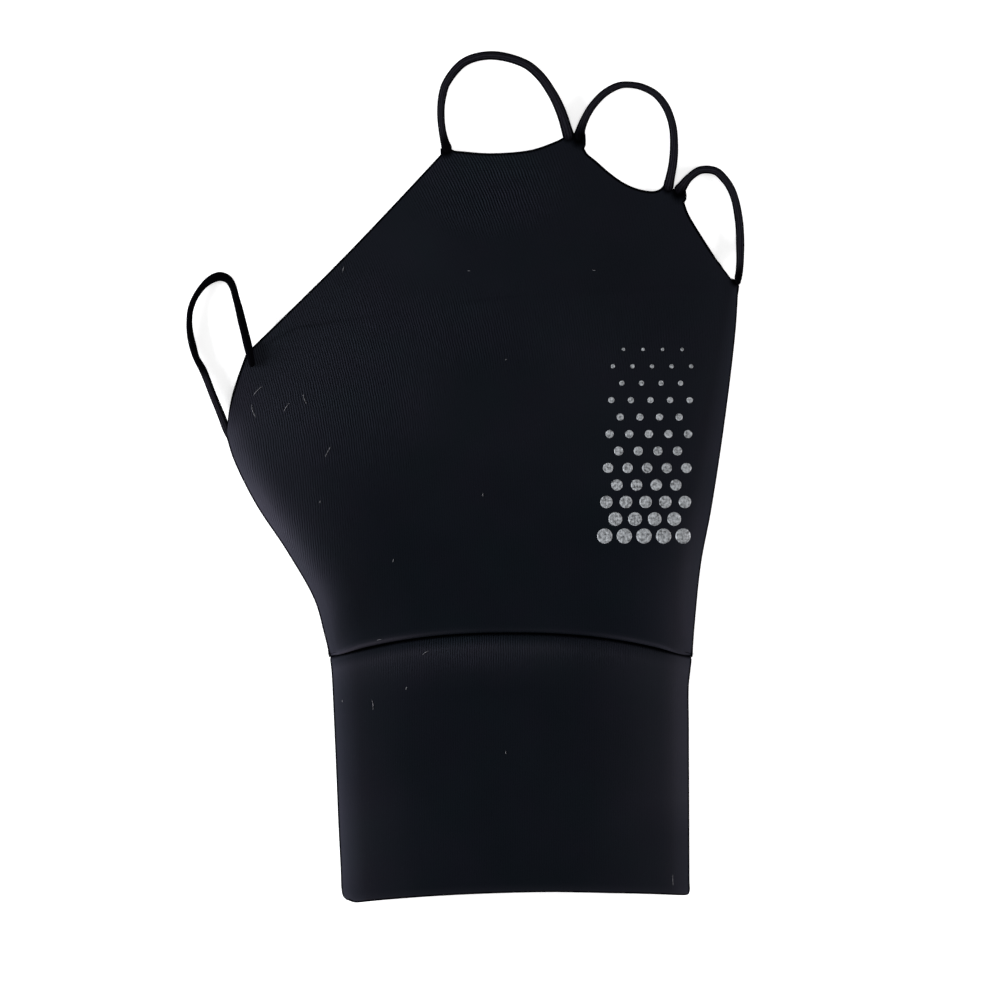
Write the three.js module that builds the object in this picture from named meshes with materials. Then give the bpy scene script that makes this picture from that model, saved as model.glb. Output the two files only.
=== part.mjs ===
// A sun protection glove for the right hand, lying palm down as it rests on a table.
//
// The hand is one tube of thin stretch knit, folded down both sides. Its back
// layer reaches the roots of the fingers and ends in a cut edge with a scallop
// for each finger. Its palm layer stops halfway, at a plain hem. A cuff of the
// same knit, folded double, is sewn to it round the wrist. Four elastic loops
// hold it to the thumb and to the middle, ring and little fingers; the index
// finger stays free.
//
// Millimetres. X runs across the hand with the thumb side negative, Y runs from
// the cuff to the fingers, and Z is up. The drawing starts from the middle of
// the cuff's mouth, and the last lines move the origin to the middle of the
// whole glove, on the table.

import * as THREE from "three";

// Driving dimensions.
const KNIT = 1.0; // wall of the single knit
const CUFF_WALL = 1.8; // wall of the doubled knit
const GAP = 0.3; // room between two pieces that are sewn together
const FOLD_WIDTH = 6.0; // how far in from a side fold the cloth is still rounded
const SEAM_Y = 49.7; // the ends of the wrist seam, at the side folds
const SEAM_RISE = 5.1; // how far the wrist seam arches towards the fingers
const SEAM_POWER = 2.3; // how square that arch is: 2 is a parabola
const SEAM_TUCK = 0.5; // depth of the groove that the wrist seam pulls in
const SEAM_ROLL = 1.2; // length of cloth that turns into that groove
const HAND_START_Y = SEAM_Y + GAP / 2 + SEAM_ROLL;
const CUFF_END_Y = SEAM_Y - GAP / 2 - SEAM_ROLL;
const PALM_INSET = 1.2; // the palm layer stands back from the thumb edge by this
const CROWN = 3.2; // how far the back layer swells over the knuckles
const CROWN_PLACE = 0.7; // how far along from the wrist to the fingers that is
const CORD = 1.6; // diameter of the elastic loops
const CORD_SIDES = 8;

// How finely the cloth is divided.
const FOLD_STEPS = 5; // steps round a quarter turn of a side fold
const THUMB_FOLD_ROWS = 8;
const THUMB_EDGE_ROWS = 3;
const INDEX_EDGE_ROWS = 8;
const ROWS = THUMB_FOLD_ROWS + THUMB_EDGE_ROWS + INDEX_EDGE_ROWS;
const PALM_COLUMNS = 12; // across the flat of the palm layer
const HEM_COLUMNS = 14;
const CUFF_COLUMNS = 12;

// The outline of the back layer. height is the top of the cloth over the table.
const THUMB_FOLD = [
  { x: -39.1, y: HAND_START_Y, height: 9.6 },
  { x: -40.0, y: 54.5, height: 10.6 },
  { x: -42.1, y: 61.5, height: 11.4 },
  { x: -47.8, y: 71.6, height: 11.2 },
  { x: -54.5, y: 81.7, height: 9.0 },
  { x: -59.3, y: 91.2, height: 5.2 },
  { x: -60.8, y: 96.0, height: 3.4 },
];
const THUMB_EDGE = [
  { x: -60.8, y: 96.0, height: 3.4 },
  { x: -60.2, y: 101.9, height: 3.4 },
  { x: -58.8, y: 107.0, height: 3.3 },
  { x: -56.5, y: 113.2, height: 3.1 },
];
const INDEX_EDGE = [
  { x: -56.5, y: 113.2, height: 3.1 },
  { x: -46.7, y: 122.6, height: 2.4 },
  { x: -36.5, y: 132.6, height: 1.4 },
  { x: -25.9, y: 143.6, height: 1.0 },
  { x: -15.5, y: 154.8, height: 1.0 },
];
const LITTLE_FOLD = [
  { x: 37.1, y: HAND_START_Y, height: 9.6 },
  { x: 37.6, y: 56.0, height: 10.2 },
  { x: 39.0, y: 69.1, height: 10.2 },
  { x: 41.0, y: 80.4, height: 9.6 },
  { x: 43.9, y: 99.3, height: 8.2 },
  { x: 46.2, y: 118.0, height: 5.0 },
  { x: 46.9, y: 127.6, height: 3.4 },
];

// The cut edge at the fingers, thumb side first. A seat is where the ends of the
// loops are sewn on, and columns is how many steps of cloth the run takes.
const FINGER_EDGE = [
  {
    run: "seat of the middle loop",
    columns: 3,
    points: [
      [-15.5, 154.8, 1.0],
      [-15.6, 156.3, 1.0],
      [-13.7, 156.4, 1.0],
    ],
  },
  {
    run: "middle finger scallop",
    columns: 10,
    points: [
      [-13.7, 156.4, 1.0],
      [-11.5, 155.8, 1.0],
      [-5.3, 155.4, 1.0],
      [3.2, 156.1, 1.0],
      [8.2, 157.9, 1.0],
      [9.7, 159.6, 1.0],
    ],
  },
  {
    run: "seat between the middle and ring loops",
    columns: 3,
    points: [
      [9.7, 159.6, 1.0],
      [14.6, 159.6, 1.0],
    ],
  },
  {
    run: "side of that seat",
    columns: 2,
    points: [
      [14.6, 159.6, 1.0],
      [14.4, 156.2, 1.0],
    ],
  },
  {
    run: "ring finger scallop",
    columns: 8,
    points: [
      [14.4, 156.2, 1.0],
      [18.3, 152.6, 1.0],
      [21.6, 149.8, 1.0],
      [25.0, 148.2, 1.0],
      [28.4, 147.5, 1.0],
      [31.2, 148.7, 1.0],
    ],
  },
  {
    run: "seat between the ring and little loops",
    columns: 3,
    points: [
      [31.2, 148.7, 1.0],
      [35.4, 148.2, 1.0],
    ],
  },
  {
    run: "side of that seat",
    columns: 1,
    points: [
      [35.4, 148.2, 1.0],
      [35.4, 145.6, 1.0],
    ],
  },
  {
    run: "little finger scallop",
    columns: 8,
    points: [
      [35.4, 145.6, 1.0],
      [36.8, 141.8, 1.1],
      [39.1, 138.0, 1.4],
      [41.6, 134.2, 2.0],
      [45.3, 129.0, 3.0],
    ],
  },
  {
    run: "seat of the little loop",
    columns: 2,
    points: [
      [45.3, 129.0, 3.0],
      [46.6, 128.9, 3.2],
      [46.9, 127.6, 3.4],
    ],
  },
];

// The hem of the palm layer, thumb side first. It lies on the table.
const PALM_HEM = [
  [-55.3, 113.2],
  [-50.6, 116.0],
  [-45.4, 118.6],
  [-27.3, 121.2],
  [-13.9, 123.4],
  [3.2, 125.4],
  [26.3, 127.0],
  [46.9, 127.6],
];

// The cuff from its mouth to the wrist seam. rise lifts the middle of a section
// towards the fingers, and lean is how much further the thumb side hangs down.
const CUFF_SECTIONS = [
  { y: 0.7, left: -36.2, right: 36.4, height: 9.6, rise: 1.5, lean: 1.8 },
  { y: 6.0, left: -36.6, right: 36.4, height: 10.0, rise: 1.9, lean: 1.2 },
  { y: 16.0, left: -37.0, right: 36.4, height: 10.0, rise: 2.6, lean: 0.6 },
  { y: 26.0, left: -37.5, right: 36.4, height: 10.0, rise: 3.4, lean: 0.2 },
  { y: 36.0, left: -38.0, right: 36.4, height: 9.9, rise: 4.3, lean: 0.0 },
  { y: 43.0, left: -38.3, right: 36.3, height: 9.8, rise: 4.9, lean: 0.0 },
  { y: CUFF_END_Y, left: -38.5, right: 36.8, height: 9.7, rise: SEAM_RISE, lean: 0.0 },
];
const MOUTH_TURNS = 3; // steps round the folded edge of the cuff's mouth

// The centre lines of the elastic loops, z over the table.
const LOOPS = {
  thumb_loop: [
    [-61.8, 97.6, 1.7],
    [-62.4, 101.4, 1.2],
    [-64.3, 106.9, 0.9],
    [-66.6, 112.2, 0.85],
    [-68.2, 118.4, 0.85],
    [-67.6, 124.5, 0.85],
    [-65.4, 128.1, 0.85],
    [-62.3, 129.6, 0.85],
    [-59.9, 128.5, 0.9],
    [-58.4, 124.5, 1.3],
    [-57.2, 119.5, 2.6],
    [-56.1, 114.8, 4.1],
    [-55.2, 110.9, 4.5],
  ],
  middle_finger_loop: [
    [-14.7, 156.9, 0.85],
    [-15.4, 160.6, 0.85],
    [-15.6, 165.5, 0.85],
    [-14.4, 170.7, 0.85],
    [-10.6, 174.7, 0.85],
    [-5.3, 176.0, 0.85],
    [1.7, 174.4, 0.85],
    [7.1, 169.5, 0.85],
    [9.8, 164.5, 0.85],
    [11.2, 159.95, 0.85],
  ],
  ring_finger_loop: [
    [13.4, 159.95, 0.85],
    [14.8, 163.3, 0.85],
    [17.5, 167.0, 0.85],
    [21.6, 169.5, 0.85],
    [26.7, 169.2, 0.85],
    [31.3, 165.7, 0.85],
    [33.3, 159.4, 0.85],
    [33.2, 153.4, 0.85],
    [32.2, 149.05, 0.85],
  ],
  little_finger_loop: [
    [34.4, 148.75, 0.85],
    [36.3, 150.5, 0.85],
    [38.4, 151.7, 0.85],
    [41.8, 151.7, 0.85],
    [45.3, 147.7, 0.85],
    [46.9, 141.7, 0.85],
    [47.3, 135.5, 1.1],
    [46.6, 129.8, 2.0],
  ],
};
const LOOP_STEPS = 30;

const INWARDS = { left: new THREE.Vector3(1, 0, 0), right: new THREE.Vector3(-1, 0, 0) };
const DOWN = new THREE.Vector3(0, 0, -1);
const UP = new THREE.Vector3(0, 0, 1);

// A smooth curve through [x, y, z] or {x, y, height} points.
function curveThrough(points) {
  const vectors = points.map((p) =>
    Array.isArray(p) ? new THREE.Vector3(p[0], p[1], p[2] ?? 0) : new THREE.Vector3(p.x, p.y, p.height),
  );
  return new THREE.CatmullRomCurve3(vectors, false, "centripetal");
}

// Points along several runs, each evenly divided, with the shared ends kept once.
function alongRuns(runs) {
  const made = [];
  for (const { curve, steps } of runs) {
    const points = curve.getSpacedPoints(steps);
    made.push(...(made.length ? points.slice(1) : points));
  }
  return made;
}

// The share of a line's length that each of its points has reached.
function sharesOf(points) {
  const reached = [0];
  for (let i = 1; i < points.length; i++)
    reached.push(reached[i - 1] + Math.hypot(points[i].x - points[i - 1].x, points[i].y - points[i - 1].y));
  return reached.map((length) => length / reached.at(-1));
}

// The distance in from a side fold, and the quarter turn, at one of its steps.
const turnAt = (step) => ((step / FOLD_STEPS) * Math.PI) / 2;
const foldInset = (step) => FOLD_WIDTH * (1 - Math.cos(turnAt(step)));

// The wrist seam's distance along Y from its ends, at a share of the width.
const archAt = (share) => 1 - Math.pow(Math.abs(2 * share - 1), SEAM_POWER);

// X positions from one fold to the other, close together where the cloth turns.
function acrossSection(left, right, flatColumns) {
  const xs = [];
  for (let k = 0; k <= FOLD_STEPS; k++) xs.push(left + foldInset(k));
  for (let j = 1; j < flatColumns; j++)
    xs.push(THREE.MathUtils.lerp(left + FOLD_WIDTH, right - FOLD_WIDTH, j / flatColumns));
  for (let k = FOLD_STEPS; k >= 0; k--) xs.push(right - foldInset(k));
  return xs;
}

// The inward direction at a column of the back or palm layer: sideways at a fold,
// turning to straight down through the back, or straight up through the palm.
function inwardAt(stepFromFold, side, through) {
  const turn = turnAt(Math.min(stepFromFold, FOLD_STEPS));
  return INWARDS[side]
    .clone()
    .multiplyScalar(Math.cos(turn))
    .addScaledVector(through, Math.sin(turn));
}

// Cloth as a sheet of points, each with its inward direction, and the quads and
// triangles between them.
class Cloth {
  constructor() {
    this.points = [];
    this.faces = [];
  }

  add(outer, inward) {
    outer.z = Math.max(outer.z, 0);
    return this.points.push({ outer, inward }) - 1;
  }

  // Faces between two rows of point numbers, seen from outside with lower first.
  strip(lower, upper) {
    for (let j = 0; j + 1 < lower.length; j++) {
      this.faces.push([lower[j], lower[j + 1], upper[j + 1]]);
      this.faces.push([lower[j], upper[j + 1], upper[j]]);
    }
  }

  // A closed solid of the sheet and its inner face, joined round every free edge.
  solid(wall) {
    const count = this.points.length;
    const places = [];
    for (const { outer } of this.points) places.push(outer.x, outer.y, outer.z);
    for (const { outer, inward } of this.points) {
      const inner = outer.clone().addScaledVector(inward, wall);
      places.push(inner.x, inner.y, Math.max(inner.z, 0));
    }
    const triangles = [];
    const edges = new Map();
    for (const [a, b, c] of this.faces) {
      triangles.push(a, b, c, c + count, b + count, a + count);
      for (const [from, to] of [[a, b], [b, c], [c, a]]) {
        const back = `${to} ${from}`;
        if (edges.has(back)) edges.delete(back);
        else edges.set(`${from} ${to}`, [from, to]);
      }
    }
    for (const [from, to] of edges.values())
      triangles.push(to, from, from + count, to, from + count, to + count);
    return new THREE.BufferGeometry()
      .setAttribute("position", new THREE.Float32BufferAttribute(places, 3))
      .setIndex(triangles);
  }
}

// A patch of cloth filled in between its four edges, a Coons patch, as rows of
// points from bottom to top. z carries the height of the cloth, with its crown.
function patchBetween(bottom, top, left, right) {
  const between = (one, other) => one.map((share, k) => (share + other[k]) / 2);
  const across = between(sharesOf(bottom), sharesOf(top));
  const up = between(sharesOf(left), sharesOf(right));
  return up.map((v, i) =>
    across.map((s, j) => {
      const corners = new THREE.Vector3()
        .addScaledVector(bottom[0], (1 - s) * (1 - v))
        .addScaledVector(bottom.at(-1), s * (1 - v))
        .addScaledVector(top[0], (1 - s) * v)
        .addScaledVector(top.at(-1), s * v);
      const along = Math.pow(v, Math.log(0.5) / Math.log(CROWN_PLACE));
      const crown = CROWN * Math.sin(Math.PI * s) * Math.sin(Math.PI * along);
      return new THREE.Vector3(0, 0, crown)
        .addScaledVector(bottom[j], 1 - v)
        .addScaledVector(top[j], v)
        .addScaledVector(left[i], 1 - s)
        .addScaledVector(right[i], s)
        .sub(corners);
    }),
  );
}

// Turns a row in towards the wrist seam.
function tuckedRow(cloth, row) {
  return row.map((number) => {
    const { outer, inward } = cloth.points[number];
    const place = outer.clone().addScaledVector(inward, SEAM_TUCK);
    place.y -= SEAM_ROLL;
    return cloth.add(place, inward.clone());
  });
}

// The tube of single knit over the hand.
function handShell() {
  const cloth = new Cloth();
  const thumbSide = alongRuns([
    { curve: curveThrough(THUMB_FOLD), steps: THUMB_FOLD_ROWS },
    { curve: curveThrough(THUMB_EDGE), steps: THUMB_EDGE_ROWS },
    { curve: curveThrough(INDEX_EDGE), steps: INDEX_EDGE_ROWS },
  ]);
  const littleSide = curveThrough(LITTLE_FOLD).getSpacedPoints(ROWS);
  const fingers = alongRuns(
    FINGER_EDGE.map(({ columns, points }) => ({ curve: curveThrough(points), steps: columns })),
  );
  const columns = fingers.length - 1;
  const [thumbWrist, littleWrist] = [thumbSide[0], littleSide[0]];
  const wristAt = (x) => {
    const share = (x - thumbWrist.x) / (littleWrist.x - thumbWrist.x);
    return thumbWrist.y + SEAM_RISE * archAt(share);
  };
  const wrist = acrossSection(thumbWrist.x, littleWrist.x, columns - 2 * FOLD_STEPS).map(
    (x) => new THREE.Vector3(x, wristAt(x), thumbWrist.z),
  );

  // The back layer. Its folds carry half the height at their outermost line.
  const crown = patchBetween(wrist, fingers, thumbSide, littleSide);
  const back = crown.map((row, i) =>
    row.map((place, j) => {
      const fromThumb = i <= THUMB_FOLD_ROWS ? j : FOLD_STEPS;
      const fromLittle = columns - j;
      const side = fromThumb < fromLittle ? "left" : "right";
      const step = Math.min(fromThumb, fromLittle, FOLD_STEPS);
      const middle = (side === "left" ? thumbSide[i].z : littleSide[i].z) / 2;
      const outer = place.clone();
      outer.z = middle + (place.z - middle) * Math.sin(turnAt(step));
      return cloth.add(outer, inwardAt(step, side, DOWN));
    }),
  );
  for (let i = 0; i < ROWS; i++) cloth.strip(back[i], back[i + 1]);

  // The palm layer: a rounded strip along each fold, and the flat between them.
  const hem = curveThrough(PALM_HEM.map(([x, y]) => [x, y, 0]));
  const hemLength = hem.getLength();
  const palmRows = { left: THUMB_FOLD_ROWS + THUMB_EDGE_ROWS, right: ROWS };
  const strips = {};
  for (const side of ["left", "right"]) {
    const fold = side === "left" ? thumbSide : littleSide;
    const sign = side === "left" ? 1 : -1;
    const last = palmRows[side];
    strips[side] = [];
    for (let i = 0; i <= last; i++) {
      const closed = side === "right" || i <= THUMB_FOLD_ROWS;
      const shared = side === "left" ? back[i][0] : back[i].at(-1);
      const row = [];
      for (let k = 0; k <= FOLD_STEPS; k++) {
        if (k === 0 && closed) {
          row.push(shared);
          continue;
        }
        const place = new THREE.Vector3(fold[i].x + sign * foldInset(k), fold[i].y, 0);
        if (closed) place.z = (fold[i].z / 2) * (1 - Math.sin(turnAt(k)));
        else place.x += PALM_INSET;
        if (i === last) {
          const reached = side === "left" ? foldInset(k) : hemLength - foldInset(k);
          const onHem = hem.getPointAt(reached / hemLength);
          place.set(onHem.x, onHem.y, place.z);
        }
        row.push(cloth.add(place, closed ? inwardAt(k, side, UP) : UP.clone()));
      }
      strips[side].push(row);
    }
  }
  for (let i = 0; i < palmRows.left; i++) cloth.strip(strips.left[i + 1], strips.left[i]);
  for (let i = 0; i < palmRows.right; i++) cloth.strip(strips.right[i], strips.right[i + 1]);

  const innerLeft = strips.left.map((row) => row.at(-1));
  const innerRight = strips.right.map((row) => row.at(-1));
  const flatPoint = (x, y) => cloth.add(new THREE.Vector3(x, y, 0), UP.clone());
  const palmWrist = [];
  for (let j = 1; j < PALM_COLUMNS; j++) {
    const from = cloth.points[innerLeft[0]].outer.x;
    const to = cloth.points[innerRight[0]].outer.x;
    const x = THREE.MathUtils.lerp(from, to, j / PALM_COLUMNS);
    palmWrist.push(flatPoint(x, wristAt(x)));
  }
  // The strips start level with the ends of the arch, so they are lifted onto it.
  for (const side of ["left", "right"])
    for (const number of strips[side][0].slice(1)) {
      const { outer } = cloth.points[number];
      outer.y = wristAt(outer.x);
    }
  const palmHem = [];
  for (let j = 1; j < HEM_COLUMNS; j++) {
    const reached = THREE.MathUtils.lerp(FOLD_WIDTH, hemLength - FOLD_WIDTH, j / HEM_COLUMNS);
    const place = hem.getPointAt(reached / hemLength);
    palmHem.push(flatPoint(place.x, place.y));
  }
  const rim = [...innerLeft, ...palmHem, ...[...innerRight].reverse(), ...[...palmWrist].reverse()];
  const flat = rim.map((number) => {
    const { outer } = cloth.points[number];
    return new THREE.Vector2(outer.x, outer.y);
  });
  for (const [a, b, c] of THREE.ShapeUtils.triangulateShape(flat, []))
    cloth.faces.push(
      THREE.ShapeUtils.isClockWise([flat[a], flat[b], flat[c]])
        ? [rim[a], rim[b], rim[c]]
        : [rim[c], rim[b], rim[a]],
    );

  // The wrist edge, once round, turned in at the seam.
  const backEdge = back[0];
  cloth.strip(tuckedRow(cloth, backEdge), backEdge);
  const tucked = cloth.points.length - backEdge.length;
  const palmEdge = [...strips.right[0], ...[...palmWrist].reverse(), ...[...strips.left[0]].reverse()];
  const palmTucked = [
    tucked + backEdge.length - 1,
    ...tuckedRow(cloth, palmEdge.slice(1, -1)),
    tucked,
  ];
  cloth.strip(palmTucked, palmEdge);
  return cloth.solid(KNIT);
}

// One section of the cuff: points once round, over the back first.
function cuffRing({ y, left, right, height, rise, lean }) {
  const xs = acrossSection(left, right, CUFF_COLUMNS);
  const ring = [];
  const put = (x, j, through) => {
    const step = Math.min(j, xs.length - 1 - j, FOLD_STEPS);
    const side = j < xs.length / 2 ? "left" : "right";
    const share = (x - left) / (right - left);
    const half = (height / 2) * Math.sin(turnAt(step));
    const outer = new THREE.Vector3(
      x,
      y + rise * archAt(share) - lean * (1 - share),
      height / 2 + (through === DOWN ? half : -half),
    );
    ring.push({ outer, inward: inwardAt(step, side, through) });
  };
  xs.forEach((x, j) => put(x, j, DOWN));
  for (let j = xs.length - 2; j > 0; j--) put(xs[j], j, UP);
  return ring;
}

// The doubled band round the wrist: its outside, its folded mouth and its inside.
function cuffShell() {
  const sections = CUFF_SECTIONS.map(cuffRing);
  const moved = (ring, inset, along) =>
    ring.map(({ outer, inward }) => {
      const place = outer.clone().addScaledVector(inward, inset);
      place.y += along;
      return place;
    });
  const seam = sections.at(-1);
  const toSeam = SEAM_ROLL - GAP;
  const outside = sections.map((ring) => moved(ring, 0, 0));
  const rings = [moved(seam, SEAM_TUCK, toSeam), ...outside.reverse()];
  for (let turn = 1; turn < MOUTH_TURNS; turn++) {
    const angle = (turn / MOUTH_TURNS) * Math.PI;
    const inset = (CUFF_WALL / 2) * (1 - Math.cos(angle));
    rings.push(moved(sections[0], inset, (-CUFF_WALL / 2) * Math.sin(angle)));
  }
  rings.push(...sections.map((ring) => moved(ring, CUFF_WALL, 0)));
  rings.push(moved(seam, SEAM_TUCK + CUFF_WALL, toSeam));

  const around = rings[0].length;
  const places = rings.flat().flatMap((p) => [p.x, p.y, p.z]);
  const triangles = [];
  rings.forEach((ring, i) => {
    const next = (i + 1) % rings.length;
    for (let j = 0; j < around; j++) {
      const beside = (j + 1) % around;
      const [a, b] = [i * around + j, i * around + beside];
      const [c, d] = [next * around + beside, next * around + j];
      triangles.push(a, c, b, a, d, c);
    }
  });
  return new THREE.BufferGeometry()
    .setAttribute("position", new THREE.Float32BufferAttribute(places, 3))
    .setIndex(triangles);
}

// A round elastic cord along one of the loops' centre lines.
function loopCord(points) {
  const section = new THREE.Shape();
  for (let side = 0; side < CORD_SIDES; side++) {
    const angle = ((side + 0.5) / CORD_SIDES) * 2 * Math.PI;
    const [x, y] = [Math.cos(angle), Math.sin(angle)].map((n) => (n * CORD) / 2);
    if (side === 0) section.moveTo(x, y);
    else section.lineTo(x, y);
  }
  section.closePath();
  return new THREE.ExtrudeGeometry(section, {
    steps: LOOP_STEPS,
    bevelEnabled: false,
    extrudePath: curveThrough(points),
  });
}

const knit = new THREE.MeshStandardMaterial({ color: 0x14181d, roughness: 0.9, metalness: 0 });
const elastic = new THREE.MeshStandardMaterial({ color: 0x1b1a21, roughness: 0.8, metalness: 0 });

function named(name, geometry, material) {
  const mesh = new THREE.Mesh(geometry, material);
  mesh.name = name;
  return mesh;
}

const glove = new THREE.Group();
glove.add(named("hand_shell", handShell(), knit));
glove.add(named("wrist_cuff", cuffShell(), knit));
for (const [name, points] of Object.entries(LOOPS)) glove.add(named(name, loopCord(points), elastic));

const extent = new THREE.Box3().setFromObject(glove);
const centre = extent.getCenter(new THREE.Vector3());
glove.position.set(-centre.x, -centre.y, -extent.min.z);

export default glove;
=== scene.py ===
"""A fingerless sun glove for the right hand, lying palm down on a pale table.

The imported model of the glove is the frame. This script gives each of its parts the fine shape and
finish of the real thing: ribbed stretch knit for the hand, the same knit folded double for the cuff,
elastic loops for the thumb and three fingers, a plain print of dots, and a little lint.

The outlines are drawn in millimetres from the middle of the cuff's mouth, X towards the little
finger, Y towards the fingertips and Z up from the table. Drawing.place turns them into the frame.
"""
import logging
import math
from collections.abc import Iterable, Sequence
from dataclasses import dataclass, field
from enum import Enum
from typing import NamedTuple

import bpy
import numpy as np
from bpy.types import Material, Node, NodeOutputs, NodeSocket, NodeTree, Object
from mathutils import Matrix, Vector, noise
from mathutils.bvhtree import BVHTree
from mathutils.geometry import delaunay_2d_cdt
from mathutils.kdtree import KDTree


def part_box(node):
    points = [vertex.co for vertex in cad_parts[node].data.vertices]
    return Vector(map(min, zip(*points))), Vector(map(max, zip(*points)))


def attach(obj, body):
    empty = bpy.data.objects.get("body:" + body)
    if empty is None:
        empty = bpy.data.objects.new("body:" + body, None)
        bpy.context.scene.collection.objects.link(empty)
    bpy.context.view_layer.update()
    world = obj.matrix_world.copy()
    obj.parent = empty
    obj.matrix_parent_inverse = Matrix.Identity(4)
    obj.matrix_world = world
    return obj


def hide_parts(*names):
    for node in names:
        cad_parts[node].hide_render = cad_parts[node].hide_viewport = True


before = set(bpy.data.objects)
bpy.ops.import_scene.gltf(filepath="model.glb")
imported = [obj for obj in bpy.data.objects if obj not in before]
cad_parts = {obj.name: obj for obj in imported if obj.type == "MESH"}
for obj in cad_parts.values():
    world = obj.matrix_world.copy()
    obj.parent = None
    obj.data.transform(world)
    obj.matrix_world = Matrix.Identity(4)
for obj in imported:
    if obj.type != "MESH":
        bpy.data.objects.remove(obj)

LOG = logging.getLogger("sun_glove")
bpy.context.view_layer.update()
MM = 0.001
UP = np.array((0.0, 0.0, 1.0))
WHITE = (1.0, 1.0, 1.0)
QUARTER = math.pi / 2
SPAN_STEPS = 24  # steps worked out between two knots of a curve
LINE_STEPS = 400  # steps of a curve that is only read from
MARKS_PER_MM = 10  # how closely a line is marked to measure from it
CLEAR = 9.0  # millimetres from an edge, well past its black line

Table = tuple[tuple[float, ...], ...]
Pair = tuple[float, float]
Colour = tuple[float, float, float]
Place = tuple[float, float, float]
Faces = list[tuple[int, ...]]
Array = np.ndarray


class Slot(Enum):
    """The material slots of the record."""

    SHELL = "shell_knit"
    CUFF = "cuff_knit"
    LOOP = "loop_elastic"
    PRINT = "print_film"


class Side(Enum):
    """The two sides of the glove as it lies, by the sign of the way in from the fold."""

    THUMB = 1.0
    LITTLE = -1.0


def curve_through(table: Sequence[Sequence[float]], count: int) -> Array:
    """Divides a smooth curve through the given points evenly.

    Args:
        table: The points that the curve passes, one row each, in any number of dimensions.
        count: How many steps to divide the curve into.

    Returns:
        count + 1 points, the ends included.
    """
    knots = np.asarray(table, float)
    knots = np.vstack([2 * knots[0] - knots[1], knots, 2 * knots[-1] - knots[-2]])
    share = np.linspace(0, 1, SPAN_STEPS, endpoint=False)[:, None]
    spans = []
    for p0, p1, p2, p3 in zip(knots, knots[1:], knots[2:], knots[3:]):
        a, b, c = (math.sqrt(np.linalg.norm(q - p)) for p, q in ((p0, p1), (p1, p2), (p2, p3)))
        t = a + share * b
        first = p0 + (p1 - p0) * t / a
        second = p1 + (p2 - p1) * (t - a) / b
        third = p2 + (p3 - p2) * (t - a - b) / c
        low = first + (second - first) * t / (a + b)
        high = second + (third - second) * (t - a) / (b + c)
        spans.append(low + (high - low) * (t - a) / b)
    fine = np.vstack([*spans, knots[-2]])
    return resample(fine, np.linspace(0, 1, count + 1))


def reach_along(line: Array) -> Array:
    """Returns how far along a line each of its points lies."""
    steps = np.linalg.norm(np.diff(line, axis=0), axis=1)
    return np.concatenate([[0.0], np.cumsum(steps)])


def resample(line: Array, shares: Array) -> Array:
    """Returns the points of a line at these shares of its length."""
    reached = reach_along(line[:, :3])
    return np.column_stack([np.interp(shares * reached[-1], reached, column) for column in line.T])


def draw_runs(runs: Iterable[tuple[Table, int]]) -> Array:
    """Draws a line of several runs.

    Args:
        runs: The points and the steps of each run, which starts where the run before it ends.

    Returns:
        The points of the line.
    """
    made = []
    start: Table = ()
    for table, steps in runs:
        made.append(curve_through((*start, *table), steps)[len(start):])
        start = table[-1:]
    return np.vstack(made)


def length_shares(line: Array) -> Array:
    """Returns the share of the flat length of a line that each of its points has reached."""
    reached = reach_along(line[:, :2])
    return reached / reached[-1]


def smooth_step(value: Array | float, low: float, high: float) -> Array:
    """Rises smoothly from 0 at low to 1 at high."""
    t = np.clip((value - low) / (high - low), 0, 1)
    return t * t * (3 - 2 * t)


def held_ends(x: Array, left: float, right: float, ends: Pair) -> Array:
    """Rises from the first of ends at both sides to 1, over the second of ends in millimetres."""
    least, reach = ends
    return least + (1 - least) * smooth_step(np.minimum(x - left, right - x), 0.0, reach)


def quarter(steps: int) -> Array:
    """Returns the angles of a quarter turn in even steps."""
    return np.linspace(0, QUARTER, steps + 1)


def hump(value: Array, middle: float, half: float) -> Array:
    """Returns a round hump of height 1, with this middle and half width."""
    return np.exp(-(((value - middle) / half) ** 2))


def unit(vectors: Array) -> Array:
    """Returns the vectors at length 1."""
    least = 1e-9
    return vectors / np.maximum(np.linalg.norm(vectors, axis=-1, keepdims=True), least)


def by_table(table: Table, value: Array) -> Array:
    """Reads a table of two columns at each value, straight between its rows."""
    columns = np.array(table).T
    return np.interp(value, columns[0], columns[1])


def ripples(places: Array, waves: Table) -> Array:
    """Makes a smooth unevenness.

    Args:
        places: The places, x and y first.
        waves: The waves that add up to it, with the height, the length and the seed of each.

    Returns:
        How high it stands at each place.
    """
    total = np.zeros(len(places))
    for height, wave, seed in waves:
        total += [height * noise.noise(Vector((x / wave, y / wave, seed))) for x, y in places[:, :2]]
    return total


@dataclass(frozen=True)
class Drawing:
    """Where the drawing's origin lies in the frame, in metres."""

    x: float
    y: float

    @classmethod
    def from_frame(cls) -> "Drawing":
        """Finds the origin from the little finger side of the cuff and the highest point of the edge.

        Returns:
            The place of the drawing.
        """
        cuff_side = 36.8
        finger_seat = 159.6
        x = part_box("wrist_cuff")[1][0] - cuff_side * MM
        return cls(x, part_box("hand_shell")[1][1] - finger_seat * MM)

    def place(self, drawn: Array) -> Array:
        """Turns drawn millimetres into metres in the frame."""
        return np.asarray(drawn, float) * MM + np.array((self.x, self.y, 0.0))

    def drawn(self, placed: Sequence[float]) -> Array:
        """Turns a place in the frame into drawn millimetres."""
        return (np.asarray(placed, float) - np.array((self.x, self.y, 0.0))) / MM


DRAWING = Drawing.from_frame()


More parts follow.
